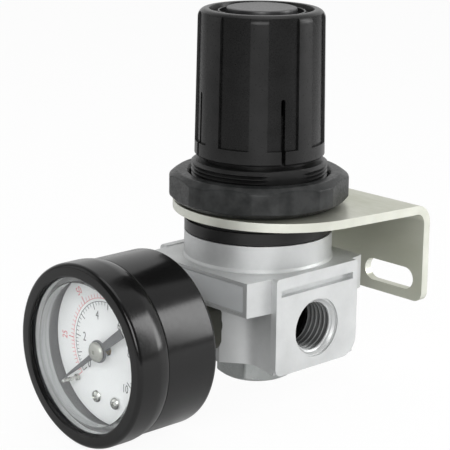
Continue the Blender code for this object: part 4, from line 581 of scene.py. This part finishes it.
def make_bracket():
    outer = arc(BRACKET_ROUNDING, 4.8, 0, QUARTER, 20)
    inner = arc(BRACKET_ROUNDING, 2.7, QUARTER, 0, 14)
    profile = outer + [(-22, BRACKET_TOP), (-22, BRACKET_UNDERSIDE)] + inner + [(27.9, 1.9), (30, 1.9)]
    bracket = flat("bracket", profile, -30, 30, SIDEWAYS)
    start = -math.acos(25.0 / 25.2)
    plan = arc((0, 6.6), 25.2, math.pi - start, 2 * math.pi + start, 96)
    plan += [(27.5, 24.15), (27.5, 33), (-27.5, 33), (-27.5, 24.15)]
    keep_inside(bracket, flat("plan", plan, -2, 30))
    face = rounded_rectangle(-27.5, 27.5, -30, -1.9, (0.5, 0.5, 2.4, 2.4))
    keep_inside(bracket, flat("face", face, -25, 35, REARWARD))
    cut(bracket, rod("hole", 16.4, 20, 30, 128))
    for middle in (-BRACKET_SLOT_PLACE, BRACKET_SLOT_PLACE):
        outline = arc((middle + 5.0, -7), 2.7, -QUARTER, QUARTER, 20)
        outline += arc((middle - 5.0, -7), 2.7, QUARTER, 3 * QUARTER, 20)
        cut(bracket, flat("slot", outline, 25, 35, REARWARD))
    soften(bracket, 0.28, 3, 40)
    dressed(bracket, zinc, "housing", "bracket")
    # The bracket's front and side edge faces get the painted highlight
    refinish(bracket, zinc_painted_highlight, lambda middle, normal: (
        abs(normal.z) < 0.6 and (middle.z > 23.5 and middle.y < 20 or abs(normal.x) > 0.8)))


def make_panel_nut():
    nut = turned("panel_nut", [
        (19.3, 34.1), (21.1, 32.9), (21.1, 28.25), (18.3, 26.55), (17.0, 26.55), (16.3, 27.25),
        (16.3, 33.3), (17.0, 34.1)], 128)
    keep_inside(nut, flat("octagon", polygon(8, 40.6, math.radians(NUT_FLATS_TURN)), 20, 40))
    soften(nut, 0.25, 3, 20)
    dressed(nut, nut_black, "housing", "panel_nut")


# Knob

KNOB_TURN = Matrix.Rotation(math.radians(-23.3), 4, "Z")
KNOB_BOTTOM, KNOB_SHOULDER = 38.0, 70.0
KNOB_LOW_RADIUS, KNOB_HIGH_RADIUS = 15.25, 14.7
CROWN_RADIUS, CROWN_WIDTH, CROWN_HEIGHT = 12.8, 1.9, 2.0
FLUTE_COUNT = 8
FLUTE_BOTTOM, FLUTE_TOP = 41.4, 71.35
FLUTE_DEPTH = 0.55
FLUTE_HALF_ANGLE = math.radians(14.5)
SLIT_COUNT = 4


def knob_radius(level):
    """Outer radius of the knob, which tapers a little to its shoulder."""
    height = KNOB_SHOULDER - KNOB_BOTTOM
    return KNOB_LOW_RADIUS + (KNOB_HIGH_RADIUS - KNOB_LOW_RADIUS) * (level - KNOB_BOTTOM) / height


def make_flutes():
    """Cutter for the knob's shallow flutes."""
    low_floor = knob_radius(FLUTE_BOTTOM) - FLUTE_DEPTH
    high_floor = knob_radius(FLUTE_TOP) - FLUTE_DEPTH
    flutes = turned("flutes", [
        (18, FLUTE_TOP), (18, FLUTE_BOTTOM), (low_floor, FLUTE_BOTTOM), (high_floor, FLUTE_TOP)],
        144, KNOB_TURN)
    wedges = bmesh.new()
    for k in range(FLUTE_COUNT):
        middle = 2 * math.pi * k / FLUTE_COUNT
        start, end = middle - FLUTE_HALF_ANGLE, middle + FLUTE_HALF_ANGLE
        outline = arc((0, 0), 5, end, start, 1) + arc((0, 0), 21, start, end, 2)
        low = [wedges.verts.new((x, y, 38)) for x, y in outline]
        high = [wedges.verts.new((x, y, 75)) for x, y in outline]
        wedges.faces.new(low)
        wedges.faces.new(high)
        for a in range(len(outline)):
            b = (a + 1) % len(outline)
            wedges.faces.new((low[a], low[b], high[b], high[a]))
    keep_inside(flutes, make("wedges", wedges, KNOB_TURN))
    return flutes


def make_knob():
    steps = [QUARTER * k / 8 for k in range(9)]
    crown = [
        (CROWN_RADIUS + CROWN_WIDTH * math.sin(t), KNOB_SHOULDER + CROWN_HEIGHT * math.cos(t))
        for t in steps]
    knob = turned("knob", [
        (0, 69.9), (8.5, 69.9), (8.5, 70.4), (9.7, 70.4), (9.75, 71.4), (9.85, 71.5),
        (10.05, 71.5), (10.15, 71.4), (10.2, 70.4), (11.6, 70.4), (11.8, 70.6), (12.02, 71.7),
        (12.12, 71.92), (12.3, 72.0)] + crown + [
        (knob_radius(38.4), 38.4), (14.9, KNOB_BOTTOM), (13.3, KNOB_BOTTOM), (13.3, 52.5),
        (12.2, 53.5), (12.2, 68.8), (6.6, 68.8), (6.6, 53.8), (0, 53.8)], 144, KNOB_TURN)
    cut(knob, flat("socket", polygon(6, 8.0), 50, 67.8, KNOB_TURN))
    cut(knob, make_flutes())
    outline = arc((0, 52.7), 0.5, 0, math.pi, 9) + [(-0.5, 36.1), (0.5, 36.1)]
    for k in range(SLIT_COUNT):
        outward = KNOB_TURN @ Matrix.Rotation(2 * math.pi * k / SLIT_COUNT, 4, "Z") @ SIDEWAYS
        cut(knob, flat("slit", outline, 8.6, 18, outward))
    soften(knob, 0.12, 3, 26)
    dressed(knob, knob_black, "knob_set", "knob", 30)
    # The flute floors get the painted shade
    refinish(knob, flute_painted_shade, lambda middle, normal: (
        FLUTE_BOTTOM + 0.1 < middle.z < FLUTE_TOP - 0.15
        and 13 < math.hypot(middle.x, middle.y) < knob_radius(middle.z) - 0.35))
    cover = turned("knob_cover", [
        (0, 72.2), (5.8, 72.22), (7.0, 72.25), (7.6, 72.3), (8.05, 72.15), (8.2, 71.8),
        (8.2, 70.2), (0, 70.2)], 96)
    dressed(cover, cover_black, "knob_set", "knob_cover")


# Pressure gauge

DIAL_SCREW_SIDE, DIAL_SCREW_DROP = 3.2, 11.9
INK_LEVEL, INK_THICKNESS = 45.71, 0.02
ARC_STEPS = 120
DIGIT_SHAPE = (0.85, 1.15)
NUMBER_STEP = 2
# Directions of the black scale's numbers, 0 to 10, which aren't evenly spread
NUMBER_DIRECTIONS = (221, 175, 116, 58, 9, -40)
BLACK_RADIUS, RED_RADIUS = 10.83, 11.6
BLACK_PER_RED = 0.0703
RED_TICK, RED_NUMBER_STEP = 2.5, 25
POINTER_DIRECTION = -142.6
STOP_PIN_RADIUS, STOP_PIN_DIRECTION = 13.4, -137.4


def make_gauge_shell():
    case = turned("gauge_case", [
        (19.3, 50.5), (19.3, 45.7), (20.15, 45.7), (20.27, 45.62), (20.3, 45.4), (20.3, 32.6),
        (20.2, 32.1), (19.9, 31.75), (19.4, 31.55), (18.9, 31.5), (4.9, 31.5), (4.9, 32.9),
        (18.2, 32.9), (18.2, 50.5)], 128, FORWARD)
    dressed(case, gauge_black, "housing", "gauge_case", 30)
    refinish(case, inside_grey, lambda middle, normal: (
        middle.y < -33.4 and math.hypot(middle.x, middle.z) < 18.5))
    bezel = turned("gauge_bezel", [
        (18.1, 54.5), (19.9, 54.5), (20.4, 54.3), (20.75, 53.95), (20.9, 53.4), (20.9, 48.9),
        (20.87, 48.3), (20.78, 47.6), (20.62, 46.8), (20.45, 46.1), (20.3, 45.8), (19.6, 45.8),
        (19.6, 53.7), (17.7, 53.7), (17.7, 53.95), (17.85, 54.35)], 128, FORWARD)
    dressed(bezel, gauge_black, "housing", "gauge_bezel", 30)
    lens = turned("gauge_lens", [
        (0, 53.4), (19.3, 53.4), (19.3, 51.9), (17.8, 51.9), (17.8, 49.1), (16.5, 49.1),
        (16.5, 51.6), (16.2, 51.9), (0, 51.9)], 128, FORWARD)
    dressed(lens, acrylic, "housing", "gauge_lens", 30)
    refinish(lens, clouded, lambda middle, normal: (
        middle.y > -51.85 and math.hypot(middle.x, middle.z) > 16.4))


def on_dial(radius, degrees):
    return (radius * math.cos(math.radians(degrees)), radius * math.sin(math.radians(degrees)))


def add_strip(shaped, corners):
    shaped.faces.new([shaped.verts.new((x, y, INK_LEVEL)) for x, y in corners])


def add_arc(shaped, radius, width):
    """Line of ink along a scale, from its first number to its last."""
    start, span = NUMBER_DIRECTIONS[0], NUMBER_DIRECTIONS[-1] - NUMBER_DIRECTIONS[0]
    for k in range(ARC_STEPS):
        a = start + span * k / ARC_STEPS
        b = start + span * (k + 1) / ARC_STEPS
        add_strip(shaped, [
            on_dial(radius - width / 2, a), on_dial(radius + width / 2, a),
            on_dial(radius + width / 2, b), on_dial(radius - width / 2, b)])


def add_tick(shaped, inner, outer, degrees, width):
    along = Vector(on_dial(1, degrees))
    across = Vector((-along.y, along.x)) * width / 2
    add_strip(shaped, [
        along * inner - across, along * outer - across,
        along * outer + across, along * inner + across])


def add_number(shaped, text, size, radius, degrees, turn=0):
    """A number on the dial, drawn by Blender's own font and kept as faces."""
    letters = bpy.data.curves.new("number", "FONT")
    letters.body = text
    letters.size = size
    letters.align_x = "CENTER"
    letters.align_y = "CENTER"
    drawn = bpy.data.objects.new("number", letters)
    bpy.context.scene.collection.objects.link(drawn)
    depsgraph = bpy.context.evaluated_depsgraph_get()
    mesh = bpy.data.meshes.new_from_object(drawn.evaluated_get(depsgraph))
    x, y = on_dial(radius, degrees)
    mesh.transform(
        Matrix.Translation((x, y, INK_LEVEL)) @ Matrix.Rotation(math.radians(turn), 4, "Z")
        @ Matrix.Diagonal((*DIGIT_SHAPE, 1, 1)))
    shaped.from_mesh(mesh)
    bpy.data.objects.remove(drawn)
    bpy.data.meshes.remove(mesh)


def print_piece(name, shaped, material):
    """Ink as a thin raised skin on the dial."""
    drawn = bmesh.ops.extrude_face_region(shaped, geom=list(shaped.faces))
    raised = [item for item in drawn["geom"] if isinstance(item, bmesh.types.BMVert)]
    bmesh.ops.translate(shaped, verts=raised, vec=(0, 0, INK_THICKNESS))
    mesh = bpy.data.meshes.new(name)
    bmesh.ops.recalc_face_normals(shaped, faces=shaped.faces)
    shaped.to_mesh(mesh)
    shaped.free()
    mesh.transform(FORWARD)
    made = bpy.data.objects.new(name, mesh)
    bpy.context.scene.collection.objects.link(made)
    dressed(made, material, "housing")


def scale_angle(value):
    """Direction of a value of the black scale."""
    step = min(int(value // NUMBER_STEP), len(NUMBER_DIRECTIONS) - 2)
    here, after = NUMBER_DIRECTIONS[step], NUMBER_DIRECTIONS[step + 1]
    return here + (after - here) * (value / NUMBER_STEP - step)


def make_dial():
    dial = turned("gauge_dial", [
        (0, 45.7), (17.55, 45.7), (17.7, 45.55), (17.7, 45.0), (0, 45.0)], 128, FORWARD)
    cut(dial, rod("centre_hole", 1.6, 43, 47, 32, FORWARD))
    for x in (-DIAL_SCREW_SIDE, DIAL_SCREW_SIDE):
        place = FORWARD @ Matrix.Translation((x, -DIAL_SCREW_DROP, 0))
        cut(dial, rod("screw_hole", 0.85, 43, 47, 24, place))
    dressed(dial, dial_white, "housing", "gauge_dial", 30)
    black = bmesh.new()
    add_arc(black, BLACK_RADIUS, 0.14)
    for k in range(51):
        inner, width = (9.2, 0.2) if k % 5 == 0 else (10.0, 0.13)
        add_tick(black, inner, BLACK_RADIUS, scale_angle(k / 5), width)
    for value in range(0, 10, NUMBER_STEP):
        add_number(black, str(value), 2.6, 7.8, scale_angle(value) - 2)
    add_number(black, "10", 2.4, 10.0, -50)
    print_piece("dial_marks_black", black, print_black)
    red = bmesh.new()
    add_arc(red, RED_RADIUS, 0.12)
    for k in range(57):
        outer, width = (13.4, 0.2) if k % 10 == 0 else (12.6, 0.12)
        add_tick(red, RED_RADIUS, outer, scale_angle(BLACK_PER_RED * RED_TICK * k), width)
    for k in range(1, 6):
        degrees = scale_angle(BLACK_PER_RED * RED_NUMBER_STEP * k)
        add_number(red, str(RED_NUMBER_STEP * k), 2.2, 14.8, degrees, degrees - 90)
    print_piece("dial_marks_red", red, print_red)


def make_pointer():
    outline = [(15.3, -0.22), (15.4, 0), (15.3, 0.22)]
    outline += arc((0, 0), 2.6, 0.25, math.pi - 0.35, 16)
    outline += [(-10.2, 1.1), (-10.2, -1.1)]
    outline += arc((0, 0), 2.6, math.pi + 0.35, 2 * math.pi - 0.25, 16)
    turn = Matrix.Rotation(math.radians(POINTER_DIRECTION), 4, "Z")
    pointer = flat("pointer", outline, 47.9, 48.3, FORWARD @ turn)
    cut(pointer, rod("hole", 1.4, 46, 50, 32, FORWARD))
    soften(pointer, 0.05, 1, 30)
    dressed(pointer, pointer_grey, "pointer_set", "pointer")
    boss = turned("pointer_boss", [
        (0, 49.1), (0.42, 49.1), (0.48, 49.5), (1.35, 49.49), (1.9, 49.32), (2.2, 49.0),
        (2.3, 48.6), (1.1, 48.6), (1.1, 47.1), (0.65, 47.1), (0.65, 48.6), (0, 48.6)], 48, FORWARD)
    dressed(boss, boss_nickel, "pointer_set", "pointer_boss")


def make_dial_fastenings():
    for x, word, degrees in ((-DIAL_SCREW_SIDE, "left", 25), (DIAL_SCREW_SIDE, "right", 70)):
        place = FORWARD @ Matrix.Translation((x, -DIAL_SCREW_DROP, 0))
        screw = turned("dial_screw_" + word, [
            (0, 46.8), (0.5, 46.78), (0.95, 46.62), (1.25, 46.4), (1.4, 46.1), (1.38, 46.0),
            (0.55, 46.0), (0.55, 43.0), (0, 43.0)], 40, place)
        cross = place @ Matrix.Rotation(math.radians(degrees), 4, "Z")
        cut(
            screw,
            block("slot_a", (-0.75, -0.14, 46.45), (0.75, 0.14, 48), cross),
            block("slot_b", (-0.14, -0.75, 46.45), (0.14, 0.75, 48), cross))
        dressed(screw, nickel, "housing", "dial_screw_" + word)
    x, y = on_dial(STOP_PIN_RADIUS, STOP_PIN_DIRECTION)
    pin = turned("zero_stop_pin", [
        (0, 50.6), (0.3, 50.6), (0.45, 50.45), (0.45, 46.7), (0.75, 46.6), (0.8, 46.0),
        (0, 46.0)], 24, FORWARD @ Matrix.Translation((x, y, 0)))
    dressed(pin, nickel, "housing", "zero_stop_pin")


def dress_cad_nodes():
    """Finish and softer shading of the solids that no piece above stands for."""
    finishes = {
        "adjusting_screw": steel, "thrust_washer": steel, "spring_nut": brass, "main_spring": steel,
        "diaphragm": rubber, "diaphragm_plate": steel, "relief_seat": brass, "valve_stem": brass,
        "valve_seal": rubber, "valve_spring": steel, "guide_o_ring": rubber, "rear_port_plug": steel,
        # The gauge stem's near-black is painted shade of the gap behind the gauge
        "gauge_stem": stem_painted_shade, "lens_gasket": rubber, "pinion_arbor": steel, "sector_gear": brass,
        "gauge_link": brass, "bourdon_tube": bronze, "bourdon_tip": brass, "movement_back_plate": brass,
        "movement_front_plate": brass, "movement_pillar_left": brass, "movement_pillar_right": brass,
    }
    for name, material in finishes.items():
        node = frame["nodes"][name]
        node.data.materials.clear()
        node.data.materials.append(material)
        weld = node.modifiers.new("weld", "WELD")
        weld.merge_threshold = WELD_DISTANCE
        node.data.shade_smooth()
        smooth = node.modifiers.new("sharp_edges", "EDGE_SPLIT")
        smooth.split_angle = CAD_SHARP_ANGLE


def make_springy_pieces():
    """The springs and the diaphragm, as welded copies hung on the housing in place of their solids.

    Each row has the joint that presses the piece, the levels of its fixed and its moving end, how
    far the joint goes, and the slot of its finish.
    """
    springy = (
        ("main_spring", "nut_travel", 9.6, 29.2, 5.0, "spring_steel"),
        ("valve_spring", "valve_travel", -19.5, -9.7, 0.8, "spring_steel"),
        ("diaphragm", "diaphragm_travel", 7.3, 8.38, 0.8, "rubber"),
    )
    for name, joint, fixed, moved, travel, slot in springy:
        node = frame["nodes"][name]
        piece = bpy.data.objects.new(name + "_pressed", node.data.copy())
        bpy.context.scene.collection.objects.link(piece)
        weld = piece.modifiers.new("weld", "WELD")
        weld.merge_threshold = WELD_DISTANCE
        bake(piece)
        piece.data.set_sharp_from_angle(angle=CAD_SHARP_ANGLE)
        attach(piece, "housing")
        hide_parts(name)
        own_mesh(piece)


# Camera, lights and floor

AZIMUTH, ELEVATION, ROLL = math.radians(46.73), math.radians(14.91), math.radians(0.68)
AIM = Vector((-5.38, -5.72, 20.39)) / PER_METRE + AXIS
DISTANCE = 0.4128
FOCAL_PIXELS = 1743.6
IMAGE_PIXELS = 450
SENSOR_WIDTH = 36
LIT_POINT = AXIS + Vector((0, -0.01, 0.02))
BRIGHT_SIDE = (-0.45, 0.85, -0.05)
BRIGHT_SIDE_RANGE = (-0.3, 0.75)
DIM_SIDE = (0.12, 0.12, 0.12)
WHITE = (1.0, 1.0, 1.0)
FLOOR_REACH = 3
FLOOR_GAP = 0.0002
FLOOR_GLOW = 0.94


def make_camera():
    back = Vector((
        math.sin(AZIMUTH) * math.cos(ELEVATION), -math.cos(AZIMUTH) * math.cos(ELEVATION),
        math.sin(ELEVATION)))
    right = Vector((math.cos(AZIMUTH), math.sin(AZIMUTH), 0))
    up = back.cross(right)
    side = right * math.cos(ROLL) + up * math.sin(ROLL)
    above = up * math.cos(ROLL) - right * math.sin(ROLL)
    camera = bpy.data.objects.new("camera", bpy.data.cameras.new("camera"))
    bpy.context.scene.collection.objects.link(camera)
    camera.data.sensor_width = SENSOR_WIDTH
    camera.data.lens = FOCAL_PIXELS / IMAGE_PIXELS * SENSOR_WIDTH
    camera.data.clip_start = 0.01
    turn = Matrix((side, above, back)).transposed().to_4x4()
    camera.matrix_world = Matrix.Translation(AIM + back * DISTANCE) @ turn
    bpy.context.scene.camera = camera


def add_lamp(name, offset, size, power):
    """Soft lamp at an offset from the lit point, and turned to it."""
    lamp = bpy.data.objects.new(name, bpy.data.lights.new(name, "AREA"))
    bpy.context.scene.collection.objects.link(lamp)
    lamp.data.shape = "RECTANGLE"
    lamp.data.size, lamp.data.size_y = size
    lamp.data.energy = power
    place = LIT_POINT + Vector(offset)
    turn = (place - LIT_POINT).to_track_quat("Z", "Y").to_matrix().to_4x4()
    lamp.matrix_world = Matrix.Translation(place) @ turn


def make_world():
    """White behind the object and dimmer in front of it; the camera sees plain white."""
    world = bpy.data.worlds.new("studio")
    bpy.context.scene.world = world
    world.use_nodes = True
    tree = world.node_tree
    studio = tree.nodes["Background"]
    where = tree.nodes.new("ShaderNodeTexCoord")
    towards = tree.nodes.new("ShaderNodeVectorMath")
    towards.operation = "DOT_PRODUCT"
    towards.inputs[1].default_value = BRIGHT_SIDE
    tree.links.new(where.outputs["Generated"], towards.inputs[0])
    spread = tree.nodes.new("ShaderNodeMapRange")
    spread.inputs["From Min"].default_value = BRIGHT_SIDE_RANGE[0]
    spread.inputs["From Max"].default_value = BRIGHT_SIDE_RANGE[1]
    tree.links.new(towards.outputs["Value"], spread.inputs["Value"])
    shade = ramp(tree, spread.outputs["Result"], [(0.0, DIM_SIDE), (1.0, WHITE)])
    tree.links.new(shade, studio.inputs["Color"])
    white = tree.nodes.new("ShaderNodeBackground")
    white.inputs["Color"].default_value = (*WHITE, 1)
    paths = tree.nodes.new("ShaderNodeLightPath")
    seen = tree.nodes.new("ShaderNodeMath")
    seen.operation = "MAXIMUM"
    tree.links.new(paths.outputs["Is Camera Ray"], seen.inputs[0])
    tree.links.new(paths.outputs["Is Transmission Ray"], seen.inputs[1])
    blend = tree.nodes.new("ShaderNodeMixShader")
    tree.links.new(seen.outputs[0], blend.inputs["Fac"])
    tree.links.new(studio.outputs[0], blend.inputs[1])
    tree.links.new(white.outputs[0], blend.inputs[2])
    tree.links.new(blend.outputs[0], tree.nodes["World Output"].inputs["Surface"])


def make_floor():
    """Pale floor that glows for the camera, so that it is nearly white and keeps a faint shadow."""
    shaped = bmesh.new()
    bmesh.ops.create_grid(shaped, x_segments=1, y_segments=1, size=FLOOR_REACH)
    mesh = bpy.data.meshes.new("floor")
    shaped.to_mesh(mesh)
    shaped.free()
    floor = bpy.data.objects.new("floor", mesh)
    floor.location.z = cad_low.z - FLOOR_GAP
    bpy.context.scene.collection.objects.link(floor)
    material, tree, shader = nodes_of("pale_floor")
    shader.inputs["Base Color"].default_value = (0.92, 0.92, 0.92, 1)
    shader.inputs["Roughness"].default_value = 0.9
    shader.inputs["Specular IOR Level"].default_value = 0.1
    glow = tree.nodes.new("ShaderNodeEmission")
    paths = tree.nodes.new("ShaderNodeLightPath")
    share = tree.nodes.new("ShaderNodeMath")
    share.operation = "MULTIPLY"
    share.inputs[1].default_value = FLOOR_GLOW
    tree.links.new(paths.outputs["Is Camera Ray"], share.inputs[0])
    blend = tree.nodes.new("ShaderNodeMixShader")
    tree.links.new(share.outputs[0], blend.inputs["Fac"])
    tree.links.new(shader.outputs["BSDF"], blend.inputs[1])
    tree.links.new(glow.outputs["Emission"], blend.inputs[2])
    tree.links.new(blend.outputs["Shader"], tree.nodes["Material Output"].inputs["Surface"])
    mesh.materials.append(material)


make_body()
make_valve_guide()
make_bonnet()
make_bracket()
make_panel_nut()
make_knob()
make_gauge_shell()
make_dial()
make_pointer()
make_dial_fastenings()
dress_cad_nodes()
make_springy_pieces()

make_camera()
make_world()
make_floor()
add_lamp("key_softbox", (0.43, -0.42, 0.28), (0.36, 0.36), 2.9)
add_lamp("back_softbox", (0.40, 0.42, 0.22), (0.20, 0.40), 1.9)
add_lamp("fill_softbox", (-0.45, -0.45, 0.25), (0.30, 0.50), 0.4)
add_lamp("top_softbox", (0, 0.05, 0.7), (0.5, 0.5), 1.2)

bpy.context.scene.view_settings.view_transform = "Standard"
